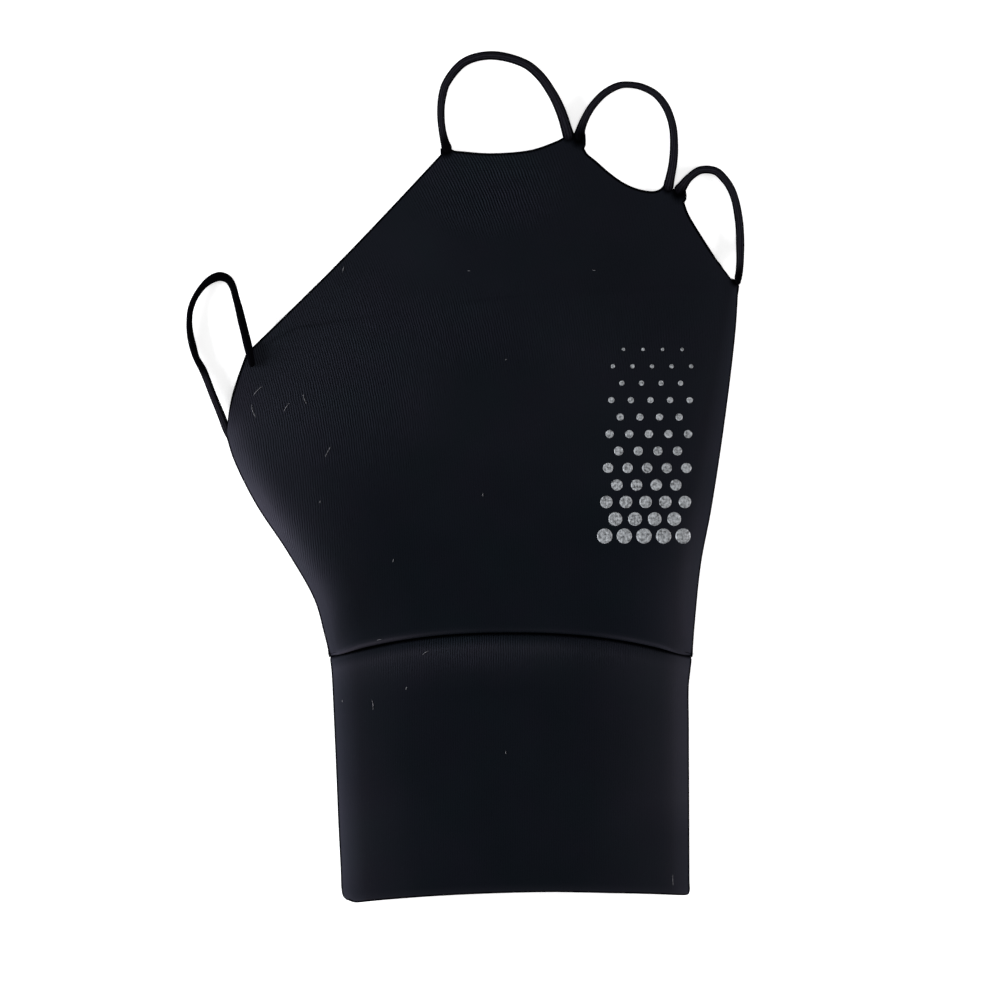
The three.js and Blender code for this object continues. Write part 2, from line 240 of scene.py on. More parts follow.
@dataclass(frozen=True)
class WristSeam:
    """The arched seam round the wrist, shared by the hand and the cuff."""

    end_y: float = 49.63
    rise: float = 5.17
    power: float = 2.3
    left: float = -38.95
    right: float = 36.95

    def arch(self, share: Array) -> Array:
        """Returns the arch at each share of the width: 0 at its ends and 1 in its middle."""
        return 1 - np.abs(2 * share - 1) ** self.power

    def y_at(self, x: Array) -> Array:
        """Returns the seam's y at each x."""
        share = np.clip((x - self.left) / (self.right - self.left), 0, 1)
        return self.end_y + self.rise * self.arch(share)


SEAM = WristSeam()


@dataclass(frozen=True)
class KnitLay:
    """How the ribs of the knit lie: straight up from the wrist, then leaning over the fingers."""

    lean: float = 10.7
    reach: float = 90.0
    power: float = 2.5
    fade: float = 0.015
    middle_x: float = -5.0

    def across(self, places: Array) -> Array:
        """Measures across the ribs.

        Args:
            places: The places, x and y first.

        Returns:
            How far across the ribs each place lies, in millimetres of flat cloth.
        """
        climb = np.maximum(places[:, 1] - SEAM.end_y, 0) / self.reach
        share = 1 - self.fade * (places[:, 0] - self.middle_x)
        return places[:, 0] + self.lean * climb**self.power * share

    def lay(self, places: Array) -> Array:
        """Returns how far across and along the ribs each place lies."""
        return np.column_stack([self.across(places), places[:, 1]])


KNIT = KnitLay()


@dataclass
class Cloth:
    """An open sheet of cloth that grows patch by patch and then gets its thickness.

    Points lie on the outside of the cloth, in drawn millimetres, and faces turn outwards. A free edge
    bulges by edge_bulge, which starts edge_reach in from it, and is rounded in edge_turns steps.
    """

    wall: float
    edge_bulge: float = 0.22
    edge_reach: float = 2.5
    edge_turns: int = 4
    points: list[Array] = field(default_factory=list)
    knit: list[Array] = field(default_factory=list)
    faces: Faces = field(default_factory=list)

    def add(self, places: Array, knit: Array | None = None) -> Array:
        """Adds points.

        Args:
            places: The points, one row each.
            knit: How far across and along the ribs each point lies, if not as KNIT says.

        Returns:
            The new points' numbers, in order.
        """
        first = sum(len(block) for block in self.points)
        self.points.append(places)
        self.knit.append(KNIT.lay(places) if knit is None else knit)
        return np.arange(first, first + len(places))

    def weave(self, numbers: Array) -> None:
        """Fills a grid with quads.

        Args:
            numbers: The numbers of its points, with rows along the cloth and columns across it.
        """
        low, high = numbers[:-1], numbers[1:]
        quads = np.stack([low[:, :-1], low[:, 1:], high[:, 1:], high[:, :-1]], axis=-1)
        self.faces += [tuple(quad) for quad in quads.reshape(-1, 4).tolist()]

    def fill(self, rim: Array, step: float) -> None:
        """Fills a flat outline with a net of triangles that look down.

        Args:
            rim: The numbers of the outline's points, in order.
            step: The distance between the points that are added inside.
        """
        clearance = 0.6 * step
        merging = 1e-5
        places = np.vstack(self.points)[rim]
        flat = places[:, :2]
        low, high = flat.min(axis=0), flat.max(axis=0)
        xs = np.arange(low[0] + step, high[0], step)
        ys = np.arange(low[1] + step, high[1], step)
        net = np.array([(x, y) for y in ys for x in xs])
        gaps = np.linalg.norm(net[:, None] - flat[None], axis=2).min(axis=1)
        net = net[(gaps > clearance) & inside(net, flat)]
        edges = [(i, (i + 1) % len(rim)) for i in range(len(rim))]
        corners = [Vector(p) for p in np.vstack([flat, net])]
        corners, _, triangles, origins, *_ = delaunay_2d_cdt(corners, edges, [], 1, merging)
        z = np.full(len(net), places[:, 2].min())
        numbers = np.concatenate([rim, self.add(np.column_stack([net, z]))])
        sources = [numbers[origin[0]] for origin in origins]
        for triangle in triangles:
            a, b, c = (corners[k] for k in triangle)
            looks_up = (b - a).cross(c - a) > 0
            order = triangle[::-1] if looks_up else triangle
            self.faces.append(tuple(int(sources[k]) for k in order))

    def rim_steps(self) -> dict[int, int]:
        """Finds the free edge.

        Returns:
            The next point along the edge after each point on it.
        """
        edges = {}
        for face in self.faces:
            for a, b in zip(face, (*face[1:], face[0])):
                if edges.pop((b, a), None) is None:
                    edges[(a, b)] = True
        return dict(edges.keys())

    def thicken(self) -> "Shell":
        """Gives the sheet its thickness, with rounded free edges.

        Returns:
            The cloth as a closed shell.
        """
        places = np.vstack(self.points)
        out = point_normals(places, self.faces)
        after = self.rim_steps()
        before = {b: a for a, b in after.items()}
        rim = np.array(sorted(after))
        ahead = places[[after[k] for k in rim]] - places[[before[k] for k in rim]]
        sideways = unit(np.cross(unit(ahead), out[rim]))
        nearest, away = nearest_points(places, places[rim])
        room = self.edge_bulge * (1 - smooth_step(away, 0.0, self.edge_reach))
        outer = places - sideways[nearest] * room[:, None]
        blocks = [outer, outer - out * self.wall]
        rings = [dict(zip(rim.tolist(), rim.tolist()))]
        total = 2 * len(places)
        for turn in range(1, self.edge_turns):
            angle = math.pi * turn / self.edge_turns
            sunk = out[rim] * (self.wall / 2 * (1 - math.cos(angle)))
            blocks.append(outer[rim] - sunk + sideways * (self.edge_bulge * math.sin(angle)))
            rings.append(dict(zip(rim.tolist(), range(total, total + len(rim)))))
            total += len(rim)
        rings.append({k: k + len(places) for k in rim.tolist()})
        faces = list(self.faces)
        faces += [tuple(k + len(places) for k in face[::-1]) for face in self.faces]
        for near, far in zip(rings, rings[1:]):
            faces += [(near[b], near[a], far[a], far[b]) for a, b in after.items()]
        knit = np.column_stack([np.vstack(self.knit), away])
        knit = np.vstack([knit, knit, *[knit[rim]] * (self.edge_turns - 1)])
        solid = np.vstack(blocks)
        solid[:, 2] = np.maximum(solid[:, 2], 0)
        return Shell(solid, faces, knit[:, :2], rim=knit[:, 2])


@dataclass
class Shell:
    """A closed surface in drawn millimetres, with the lay and the tone of its knit.

    knit holds how far across and along the ribs each point lies, black how black the cloth is, dark
    where it is sewn and painted shade where it is turned under or beside the palm hem, painted_light
    how pale its painted light makes it, ribs how plainly its ribs show and rim how far it lies from the
    nearest edge or fold, which has a thin line of painted shade.
    """

    points: Array
    faces: Faces
    knit: Array
    black: Array | float = 0.0
    painted_light: Array | float = 0.0
    ribs: Array | float = 0.0
    rim: Array | float = CLEAR

    def blacken(self, share: Array) -> None:
        """Makes each point at least as black as this share."""
        self.black = np.maximum(self.black, share)

    def add_painted_light(self, share: Array) -> None:
        """Adds this share of painted light at each point."""
        self.painted_light = self.painted_light + share

    def show_ribs(self, patches: Table) -> None:
        """Lets the ribs show in patches.

        Args:
            patches: The middle, the two half sizes and the strength of each.
        """
        steepness = 1.5
        for x, y, wide, tall, strength in patches:
            away = ((self.points[:, 0] - x) / wide) ** 2 + ((self.points[:, 1] - y) / tall) ** 2
            self.ribs = np.maximum(self.ribs, strength * np.exp(-(away**steepness)))

    def piece(self, name: str, material: Material) -> Object:
        """Makes the Blender object, smooth shaded, with its lay and tone as attributes.

        Args:
            name: The name of the object.
            material: Its finish.

        Returns:
            The object.
        """
        mesh = bpy.data.meshes.new(name)
        mesh.from_pydata(DRAWING.place(self.points).tolist(), [], self.faces)
        mesh.polygons.foreach_set("use_smooth", [True] * len(mesh.polygons))
        count = len(self.points)
        vectors = np.column_stack([self.knit, np.full(count, self.black)])
        mesh.attributes.new("knit", "FLOAT_VECTOR", "POINT").data.foreach_set("vector", vectors.ravel())
        for label, values in (("painted_light", self.painted_light), ("ribs", self.ribs), ("rim", self.rim)):
            mesh.attributes.new(label, "FLOAT", "POINT").data.foreach_set("value", np.full(count, values))
        mesh.materials.append(material)
        mesh.validate()
        made = bpy.data.objects.new(name, mesh)
        bpy.context.scene.collection.objects.link(made)
        return made


def point_normals(places: Array, faces: Sequence[tuple[int, ...]]) -> Array:
    """Returns the mean direction of the faces round each point.

    Args:
        places: The points.
        faces: The faces, with three or four corners each.

    Returns:
        One direction of length 1 for each point.
    """
    corners = np.array([(*face, face[2]) if len(face) == 3 else face for face in faces])
    across = places[corners[:, 2]] - places[corners[:, 0]]
    other = places[corners[:, 3]] - places[corners[:, 1]]
    turned = np.cross(across, other)
    total = np.zeros_like(places)
    for k in range(4):
        np.add.at(total, corners[:, k], turned)
    return unit(total)


def nearest_points(places: Array, marks: Array) -> tuple[Array, Array]:
    """Finds the nearest mark to each place.

    Args:
        places: The places.
        marks: The marks to choose from.

    Returns:
        The number of the nearest mark and how far away it is, for each place.
    """
    tree = KDTree(len(marks))
    for number, mark in enumerate(marks):
        tree.insert(mark, number)
    tree.balance()
    found = [tree.find(place)[1:] for place in places]
    return np.array([number for number, _ in found]), np.array([away for _, away in found])


def beside_line(places: Array, line: Array) -> tuple[Array, Array]:
    """Measures from a line to each place.

    Args:
        places: The places.
        line: The points of the line.

    Returns:
        How far each place lies from the line, seen from above, and how far above it.
    """
    length = reach_along(line[:, :2])[-1]
    marks = resample(line, np.linspace(0, 1, int(MARKS_PER_MM * length) + 2))
    level, level_marks = (np.column_stack([rows[:, :2], np.zeros(len(rows))]) for rows in (places, marks))
    nearest, away = nearest_points(level, level_marks)
    return away, places[:, 2] - marks[nearest, 2]


@dataclass(frozen=True)
class Fold:
    """A pressed fold of the cloth: a thin line of painted shade just above it, then painted light that fades.

    line runs along the fold, strength holds how strong the painted light is at each y and falloff what
    share of it is left at each distance from the fold. The painted shade line starts at lowest, measured
    up from line.
    """

    line: Array
    strength: Table
    falloff: Table
    lowest: float = -0.1

    def shade(self, shell: Shell) -> None:
        """Adds the fold's painted shade line and painted light to the cloth.

        Args:
            shell: The finished shell.
        """
        away, above = beside_line(shell.points, self.line)
        shell.add_painted_light(by_table(self.strength, shell.points[:, 1]) * by_table(self.falloff, away))
        shell.rim = np.where(above > self.lowest, np.minimum(shell.rim, away), shell.rim)


def inside(places: Array, outline: Array) -> Array:
    """Tells which places lie inside an outline.

    Args:
        places: The places, x and y.
        outline: The points of the closed outline, x and y.

    Returns:
        Whether each place lies inside.
    """
    level = 1e-12
    found = np.zeros(len(places), bool)
    for a, b in zip(outline, np.roll(outline, -1, axis=0)):
        spans = (a[1] > places[:, 1]) != (b[1] > places[:, 1])
        height = np.where(abs(b[1] - a[1]) < level, 1.0, b[1] - a[1])
        found ^= spans & (places[:, 0] < a[0] + (b[0] - a[0]) * (places[:, 1] - a[1]) / height)
    return found


def quads_between(rings: Sequence[Array], closed: bool) -> Faces:
    """Joins rings of point numbers into quads.

    Args:
        rings: The rings in order, each the same length.
        closed: Whether the last ring joins the first one.

    Returns:
        The quads.
    """
    faces = []
    pairs = list(zip(rings, rings[1:]))
    if closed:
        pairs.append((rings[-1], rings[0]))
    for low, high in pairs:
        beside_low, beside_high = np.roll(low, -1), np.roll(high, -1)
        faces += np.stack([low, beside_low, beside_high, high], axis=-1).tolist()
    return [tuple(face) for face in faces]


def tube_faces(first: int, steps: int, sides: int) -> Faces:
    """Makes the faces of a tube with closed ends.

    Args:
        first: The number of its first point.
        steps: How many rings it has.
        sides: How many points each ring has.

    Returns:
        The faces.
    """
    rings = first + np.arange(steps * sides).reshape(steps, sides)
    ends = [tuple(rings[0][::-1].tolist()), tuple(rings[-1].tolist())]
    return quads_between(list(rings), closed=False) + ends


@dataclass
class Hand:
    """The tube of thin knit over the back of the hand and the palm.

    The outline is drawn in runs of points with their heights, and a run goes on from the end of the
    one before it. Columns, rows, steps and marks say how finely something is divided. fold_shares
    hold the share of the width that the close columns take at each fold. thumb_reach and little_reach
    hold how far in a fold rounds the cloth at height 0, and how much more for each millimetre of
    height. opening holds how far past the end of the thumb side fold the tube starts to open and is
    open. crease_ridge holds the height of the ridge beside the crease, its middle and its half width,
    roll_hides the degrees between which the roll turns black with painted shade, and roll_painted_shade
    its least share and what its full size adds. The shine, falloff and painted_glow tables set painted
    light along the folds, over the seam and across the cloth, and hem_shadow a painted shadow.
    """

    wall: float = 0.75
    fold_columns: int = 14
    flat_columns: int = 150
    fold_shares: Pair = (0.10, 0.08)
    fold_rows: int = 64
    thumb_edge_rows: int = 22
    index_edge_rows: int = 72
    seat_rows: int = 3
    finger_steps: int = 40
    strip_columns: int = 10
    wrist_columns: int = 90
    hem_columns: int = 110
    arch_rows: int = 30
    hem_rows: int = 8
    arc_marks: int = 8
    edge_marks: int = 90
    edge_least: float = 0.25
    net_step: float = 2.5
    thumb_reach: Pair = (3.0, 0.5)
    little_reach: Pair = (2.5, 0.35)
    crown: float = 2.6
    crown_reach: float = 26.0
    crown_power: float = 1.5
    quiet: Pair = (0.5, 9.0)
    waves: Table = ((0.16, 30, 4.1), (0.05, 11, 8.7))
    roll_length: float = 1.0
    roll_depth: float = 1.15
    roll_ends: Pair = (0.08, 7.0)
    roll_turn: float = 140.0
    roll_steps: int = 14
    roll_hides: Pair = (60.0, 95.0)
    roll_painted_shade: Pair = (0.5, 0.4)
    palm_inset: float = 1.2
    opening: Pair = (-1.0, 9.0)
    crease_half: float = 1.1
    crease_ridge: tuple[float, ...] = (0.4, -0.9, 0.8)
    hem_line: Pair = (0.3, 0.55)
    seam_ridge: Pair = (-0.5, 0.45)
    seat_power: int = 4
    thumb_fold: Table = (
        (-38.95, 49.8, 9.5), (-40.15, 54.6, 10.6), (-42.1, 61.5, 11.4), (-47.8, 71.6, 11.2),
        (-54.5, 81.7, 9), (-59.3, 91.2, 5.2), (-60.8, 96, 3.4),
    )
    thumb_edge: Table = ((-60.2, 101.9, 3.4), (-58.8, 107, 3.3), (-56.6, 113.3, 3.1))
    index_edge: Table = ((-46.9, 122.8, 2.4), (-36.8, 132.9, 1.4), (-26.3, 143.9, 1), (-15.75, 155.2, 1))
    middle_seat_side: Table = ((-15.8, 156.5, 1),)
    little_fold: Table = (
        (36.95, 49.8, 9.5), (37.2, 51.5, 9.8), (37.55, 56, 10.2), (38.9, 69.1, 10.2),
        (41.05, 80.4, 9.6), (43.95, 99.3, 8.2), (46.25, 118, 5), (46.9, 127.5, 3.4),
    )
    little_seat_side: Table = ((46.5, 128.9, 3.2),)
    finger_edge: tuple[Table, ...] = (
        ((-15.8, 156.5, 1), (-13.7, 156.6, 1)),
        ((-13.1, 156.1, 1), (-11.7, 155.95, 1), (-5.3, 155.5, 1), (3.2, 156.2, 1), (7.7, 157.7, 1),
         (9.7, 158.6, 1), (11.1, 159.8, 1)),
        ((14.5, 159.8, 1),),
        ((14.45, 156.6, 1),),
        ((15.05, 155.5, 1), (16.9, 153.95, 1), (20, 151.25, 1), (23.15, 149.1, 1), (26.2, 147.9, 1),
         (29.3, 147.55, 1), (30.6, 148.1, 1), (31.3, 149, 1)),
        ((33, 148.1, 1), (35.6, 148, 1)),
        ((35.4, 145.7, 1),),
        ((36.35, 142.9, 1), (39.35, 137.8, 1.4), (42.6, 132.8, 2.2), (45.3, 129.2, 3)),
        ((46.5, 128.9, 3.2),),
    )
    seats: Table = (
        (-14.6, 156, 1.6), (11.2, 158.9, 1.3), (13.4, 158.6, 1.9), (32.2, 148.3, 1.5),
        (34.4, 147.4, 1.9), (46.4, 128.6, 1.4),
    )
    palm_hem: Table = (
        (-55.4, 113.3), (-50.6, 116), (-45.4, 118.6), (-27.3, 121.2), (-13.9, 123.4),
        (3.2, 125.4), (26.3, 127), (46.9, 127.5),
    )
    crease: Table = ((-56, 0.30), (-42, 0.22), (-34, 0.10), (46, 0.06))
    thumb_shine: Table = (
        (50, 0.18), (60, 0.22), (68, 0.29), (76, 0.37), (83, 0.33), (88, 0.25), (94, 0.18),
        (104, 0.11), (116, 0),
    )
    thumb_falloff: Table = (
        (0, 1), (1.1, 0.95), (2, 0.92), (2.6, 0.83), (3.2, 0.70), (3.8, 0.56), (4.7, 0.42), (5.5, 0.33),
        (6.4, 0.25), (7.6, 0.20), (8.9, 0.16), (10.6, 0.12), (14, 0.05), (20, 0),
    )
    little_shine: Table = ((50, 0.20), (68, 0.19), (85, 0.08), (105, 0.035), (128, 0.015))
    little_falloff: Table = (
        (0, 0.78), (1.1, 0.88), (2, 0.95), (2.6, 1), (3.8, 0.98), (4.7, 0.83), (5.5, 0.62), (6.4, 0.45),
        (7.6, 0.32), (8.9, 0.23), (10.6, 0.13), (14, 0.03), (18, 0),
    )
    painted_glow_across: Table = (
        (-56, 0.09), (-45, 0.08), (-37, 0.062), (-28, 0.042), (-20, 0.038), (-11, 0.027),
        (0, 0.025), (12, 0.032), (30, 0.04), (46, 0.04),
    )
    painted_glow_up: Table = ((50, 0), (74, 0), (82, 0.35), (92, 0.75), (104, 1), (160, 1))
    hem_shadow: Table = (
        (-56, 0), (-50, 0.32), (-38, 0.26), (-30, 0.16), (-20, 0.10), (-12, 0.20), (-3, 0.20),
        (5, 0.10), (24, 0.08), (34, 0.14), (44, 0),
    )
    rib_patches: Table = (
        (-38, 110, 17, 18, 3.8), (-5, 149, 12, 8, 6.2), (-18, 118, 18, 8, 2),
        (-50, 96, 10, 12, 1.2), (-44, 78, 9, 14, 1.1), (10, 118, 30, 9, 0.5),
    )
    seam_shine: Table = (
        (-38.6, 0.60), (-28, 0.38), (-19, 0.15), (-7, 0.04), (14, 0.05), (24, 0.16), (37, 0.16),
    )
    sheet_size: Pair = (0.215, 0.112)
    sheet_area: float = 0.0165

    def __post_init__(self) -> None:
        """Starts the cloth and draws the two sides of its back layer, from the wrist up."""
        self.cloth = Cloth(self.wall)
        self.left = draw_runs((
            (self.thumb_fold, self.fold_rows), (self.thumb_edge, self.thumb_edge_rows),
            (self.index_edge, self.index_edge_rows), (self.middle_seat_side, self.seat_rows),
        ))
        rows = len(self.left) - 1 - self.seat_rows
        self.right = draw_runs(((self.little_fold, rows), (self.little_seat_side, self.seat_rows)))

    def build(self, material: Material) -> Object:
        """Makes the hand.

        Args:
            material: The finish of the knit.

        Returns:
            The finished piece.
        """
        back = self.back_layer()
        strips = self.palm_strips(back)
        rolled = self.wrist_roll(back, strips, self.palm_layer(strips))
        shell = self.cloth.thicken()
        self.shade(shell, rolled)
        made = shell.piece("hand_knit", material)
        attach(made, "root")
        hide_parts("hand_shell")
        return made

    def shade(self, shell: Shell, rolled: dict[int, float]) -> None:
        """Gives the shell its black seats and its painted shade and light at the folds, roll, hem and seam.

        Args:
            shell: The finished shell.
            rolled: How much painted shade each point of the wrist roll has.
        """
        half_height = np.array((1.0, 1.0, 0.5))
        thumb_side = self.left[:self.fold_rows + 1] * half_height
        little_side = self.right[:-self.seat_rows] * half_height
        # Painted shade lines and painted light along the two folds.
        Fold(thumb_side, self.thumb_shine, self.thumb_falloff).shade(shell)
        Fold(little_side, self.little_shine, self.little_falloff).shade(shell)
        flat = shell.points[:, :2]
        x, y = flat.T
        # A broad painted glow, strongest on the thumb side and towards the fingers.
        shell.add_painted_light(by_table(self.painted_glow_across, x) * by_table(self.painted_glow_up, y))
        for *seat, reach in self.seats:
            away = np.linalg.norm(flat - seat, axis=1)
            shell.blacken(np.exp(-((away / reach) ** self.seat_power)))
        past = y - by_table(self.palm_hem, x)
        shell.blacken(by_table(self.hem_shadow, x) * hump(past, *self.hem_line))
        shell.show_ribs(self.rib_patches)
        # Painted shade on the wrist roll where it turns under at the seam.
        turned = np.zeros(len(flat))
        turned[list(rolled)] = list(rolled.values())
        shell.blacken(turned)
        # A painted highlight on the ridge just above the seam.
        ridge = hump(y - self.wrist_y(x), *self.seam_ridge)
        shell.add_painted_light(ridge * by_table(self.seam_shine, x))

    def roll_at(self, x: Array) -> Array:
        """Returns the share of its full size that the wrist roll has at each x."""
        return held_ends(x, self.thumb_fold[0][0], self.little_fold[0][0], self.roll_ends)

    def wrist_y(self, x: Array) -> Array:
        """Returns the y where the wrist roll starts, at each x."""
        return SEAM.y_at(x) + self.roll_length * self.roll_at(x)

    def hem_y(self, x: Array) -> Array:
        """Returns the y of the palm layer's hem at each x."""
        return by_table(curve_through(self.palm_hem, LINE_STEPS), x)

    def shares_across(self, corners: Array) -> Array:
        """Divides the width into columns, close together at the folds.

        Args:
            corners: The shares of the width at which a column has to lie.

        Returns:
            The share of the width at each column.
        """
        spread = 1 - np.cos(quarter(self.fold_columns))
        left = self.fold_shares[0] * spread
        right = 1 - self.fold_shares[1] * spread
        flat = np.linspace(left[-1], right[-1], self.flat_columns + 1)
        shares = np.concatenate([left, flat[1:-1], right[::-1]])
        for corner in corners:
            shares[np.argmin(abs(shares - corner))] = corner
        return shares

    def back_layer(self) -> Array:
        """Weaves the back layer between its four edges.

        Returns:
            The point numbers as a grid, row by row from the wrist up.
        """
        left, right = self.left, self.right
        edge = draw_runs((run, self.finger_steps) for run in self.finger_edge)
        reached = length_shares(edge)
        shares = self.shares_across(reached[self.finger_steps:-1:self.finger_steps])
        top = np.column_stack([np.interp(shares, reached, column) for column in edge.T])
        xs = left[0, 0] + shares * (right[0, 0] - left[0, 0])
        lift = np.column_stack([xs, self.wrist_y(xs), np.full(len(xs), left[0, 2])])
        s = shares[None, :, None]
        t = ((length_shares(left) + length_shares(right)) / 2)[:, None, None]
        plan = (
            (1 - t) * lift[None] + t * top[None] + (1 - s) * left[:, None] + s * right[:, None]
            - (1 - s) * (1 - t) * lift[0] - s * (1 - t) * lift[-1]
            - (1 - s) * t * top[0] - s * t * top[-1]
        )[..., :2]
        flat = plan.reshape(-1, 2)
        height = self.height_at(flat, (left, right, lift, top))
        drop_left = left[:, 2] / 2 * self.closed_share()
        rounded, slack = self.rounding(flat, left, self.fold_reach(left, Side.THUMB), drop_left)
        also, more = self.rounding(flat, right, self.fold_reach(right, Side.LITTLE), right[:, 2] / 2)
        places = np.column_stack([flat, height - rounded - also])
        knit = KNIT.lay(places)
        knit[:, 0] = knit[:, 0] - slack + more
        numbers = self.cloth.add(places, knit).reshape(plan.shape[:2])
        self.cloth.weave(numbers)
        return numbers

    def fold_reach(self, line: Array, side: Side) -> Array:
        """Returns how far in from a fold the cloth is rounded, at each point of its line."""
        least, rate = self.thumb_reach if side is Side.THUMB else self.little_reach
        return least + rate * line[:, 2]

    def closed_share(self) -> Array:
        """Returns 1 for each row where the thumb side is folded shut, falling to 0 at its opening."""
        reached = reach_along(self.left[:, :2])
        return 1 - smooth_step(reached - reached[self.fold_rows], *self.opening)

    def height_at(self, flat: Array, edges: Sequence[Array]) -> Array:
        """Returns the top of the cloth over the table, away from the folds.

        Args:
            flat: The places, x and y.
            edges: The four edges, each with its heights.

        Returns:
            The height at each place.
        """
        inverse = np.zeros(len(flat))
        total = np.zeros(len(flat))
        for edge in edges:
            line = resample(edge, np.linspace(0, 1, self.edge_marks))
            middle = (line[1:] + line[:-1]) / 2
            step = np.linalg.norm(np.diff(line[:, :2], axis=0), axis=1)
            away = np.linalg.norm(flat[:, None] - middle[None, :, :2], axis=2)
            weight = step / np.maximum(away, self.edge_least) ** 3
            inverse += weight.sum(axis=1)
            total += weight @ middle[:, 2]
        inward = np.sqrt(2 / inverse)
        swell = self.crown * (1 - np.exp(-((inward / self.crown_reach) ** self.crown_power)))
        quiet = smooth_step(inward, *self.quiet)
        past = flat[:, 1] - by_table(self.palm_hem, flat[:, 0])
        sharp = by_table(self.crease, flat[:, 0]) * quiet
        sunk = sharp * smooth_step(past, -self.crease_half, self.crease_half)
        share, *place = self.crease_ridge
        ridge = share * sharp * hump(past, *place)
        return total / inverse + swell + ripples(flat, self.waves) * quiet - sunk + ridge

    def rounding(self, flat: Array, fold: Array, reach: Array, drop: Array) -> tuple[Array, Array]:
        """Rounds the cloth down towards a fold.

        Args:
            flat: The places, x and y.
            fold: The line of the fold.
            reach: How far in from each point of the line the cloth is rounded.
            drop: How far beneath the top each point of the line lies.

        Returns:
            How much lower each place is, and how much longer the cloth is than the drawing there.
        """
        near = np.argmin(np.linalg.norm(flat[:, None] - fold[None, :, :2], axis=2), axis=1)
        along = unit(np.gradient(fold[:, :2], axis=0))[near]
        away = flat - fold[near, :2]
        inset = np.abs(along[:, 0] * away[:, 1] - along[:, 1] * away[:, 0])
        wide, deep = reach[near], drop[near]
        turn = np.arccos(np.clip(1 - inset / wide, 0, 1))
        spread = (np.arange(self.arc_marks) + 0.5) / self.arc_marks
        angles = turn[:, None] + (QUARTER - turn[:, None]) * spread
        arc = np.sqrt((wide[:, None] * np.sin(angles)) ** 2 + (deep[:, None] * np.cos(angles)) ** 2)
        length = arc.mean(axis=1) * (QUARTER - turn)
        return deep * (1 - np.sin(turn)), length - wide * np.cos(turn)

    def palm_strips(self, back: Array) -> dict[Side, Array]:
        """Weaves the rounded strips of the palm layer along the two folds.

        Args:
            back: The back layer's point numbers.

        Returns:
            The point numbers of each strip, a row from the fold inwards for each row of the back.
        """
        grown = np.vstack(self.cloth.points)
        turn = quarter(self.strip_columns)
        sides = ((Side.THUMB, self.left, back[:, 0]), (Side.LITTLE, self.right, back[:, -1]))
        strips = {}
        for side, line, shared in sides:
            thumb = side is Side.THUMB
            last = self.fold_rows + self.thumb_edge_rows if thumb else len(line) - 1
            shut = self.closed_share() if thumb else np.ones(len(line))
            wide = self.fold_reach(line, side)
            grid = []
            for i in range(last + 1):
                edge = grown[shared[i]]
                inset = wide[i] * (1 - np.cos(turn)) + self.palm_inset * (1 - shut[i])
                x = edge[0] + side.value * inset
                arch = self.wrist_y(x) - self.wrist_y(edge[:1])
                y = edge[1] + arch * (1 - smooth_step(i, 0, self.arch_rows))
                settle = smooth_step(i, last - self.hem_rows, last)
                y = y + settle * (self.hem_y(x) - line[last, 1])
                z = line[i, 2] / 2 * shut[i] * (1 - np.sin(turn))
                places = np.column_stack([x, y, z])
                if i <= self.fold_rows or not thumb:
                    grid.append(np.concatenate([[shared[i]], self.cloth.add(places[1:])]))
                else:
                    grid.append(self.cloth.add(places))
            strips[side] = np.array(grid)
            self.cloth.weave(strips[side][::-1] if thumb else strips[side])
        return strips

    def palm_layer(self, strips: dict[Side, Array]) -> Array:
        """Fills the flat of the palm layer.

        Args:
            strips: The palm layer's strips.

        Returns:
            The numbers of its wrist edge, thumb side first.
        """
        grown = np.vstack(self.cloth.points)
        inner_left, inner_right = strips[Side.THUMB][:, -1], strips[Side.LITTLE][:, -1]
        ends = []
        for row, columns, y_at in ((0, self.wrist_columns, self.wrist_y), (-1, self.hem_columns, self.hem_y)):
            xs = np.linspace(grown[inner_left[row], 0], grown[inner_right[row], 0], columns)[1:-1]
            ends.append(self.cloth.add(np.column_stack([xs, y_at(xs), np.zeros(len(xs))])))
        wrist, hem = ends
        self.cloth.fill(np.concatenate([inner_left, hem, inner_right[::-1], wrist[::-1]]), self.net_step)
        return wrist

    def wrist_roll(self, back: Array, strips: dict[Side, Array], palm_wrist: Array) -> dict[int, float]:
        """Rolls the wrist edge in, all the way round.

        Args:
            back: The back layer's point numbers.
            strips: The palm layer's strips.
            palm_wrist: The numbers of the palm layer's wrist edge.

        Returns:
            How much painted shade each point of the roll has, by its number.
        """
        ring = np.concatenate([
            back[0], strips[Side.LITTLE][0][1:], palm_wrist[::-1], strips[Side.THUMB][0][:0:-1],
        ])
        grown = np.vstack(self.cloth.points)
        start, knit = grown[ring], np.vstack(self.cloth.knit)[ring]
        inward = -point_normals(grown, self.cloth.faces)[ring]
        inward[:, 1] = 0
        inward = unit(inward)
        size = self.roll_at(start[:, 0])
        least_black, more_black = self.roll_painted_shade
        rows = [ring]
        rolled = {}
        for degrees in np.linspace(0, self.roll_turn, self.roll_steps + 1)[1:]:
            turn = math.radians(degrees)
            deep = self.roll_depth * (1 - math.cos(turn)) * size
            places = start + inward * deep[:, None]
            places[:, 1] -= self.roll_length * math.sin(turn) * size
            rows.append(self.cloth.add(places, knit - np.array((0.0, self.roll_length * turn))))
            # The roll darkens with painted shade as it turns under.
            share = smooth_step(degrees, *self.roll_hides) * (least_black + more_black * size)
            rolled.update(zip(rows[-1].tolist(), share.tolist()))
        self.cloth.faces += quads_between(rows[::-1], closed=False)
        return rolled


class Ring(NamedTuple):
    """One ring of the cuff: its points, their inward directions and how their knit lies."""

    points: Array
    inward: Array
    knit: Array


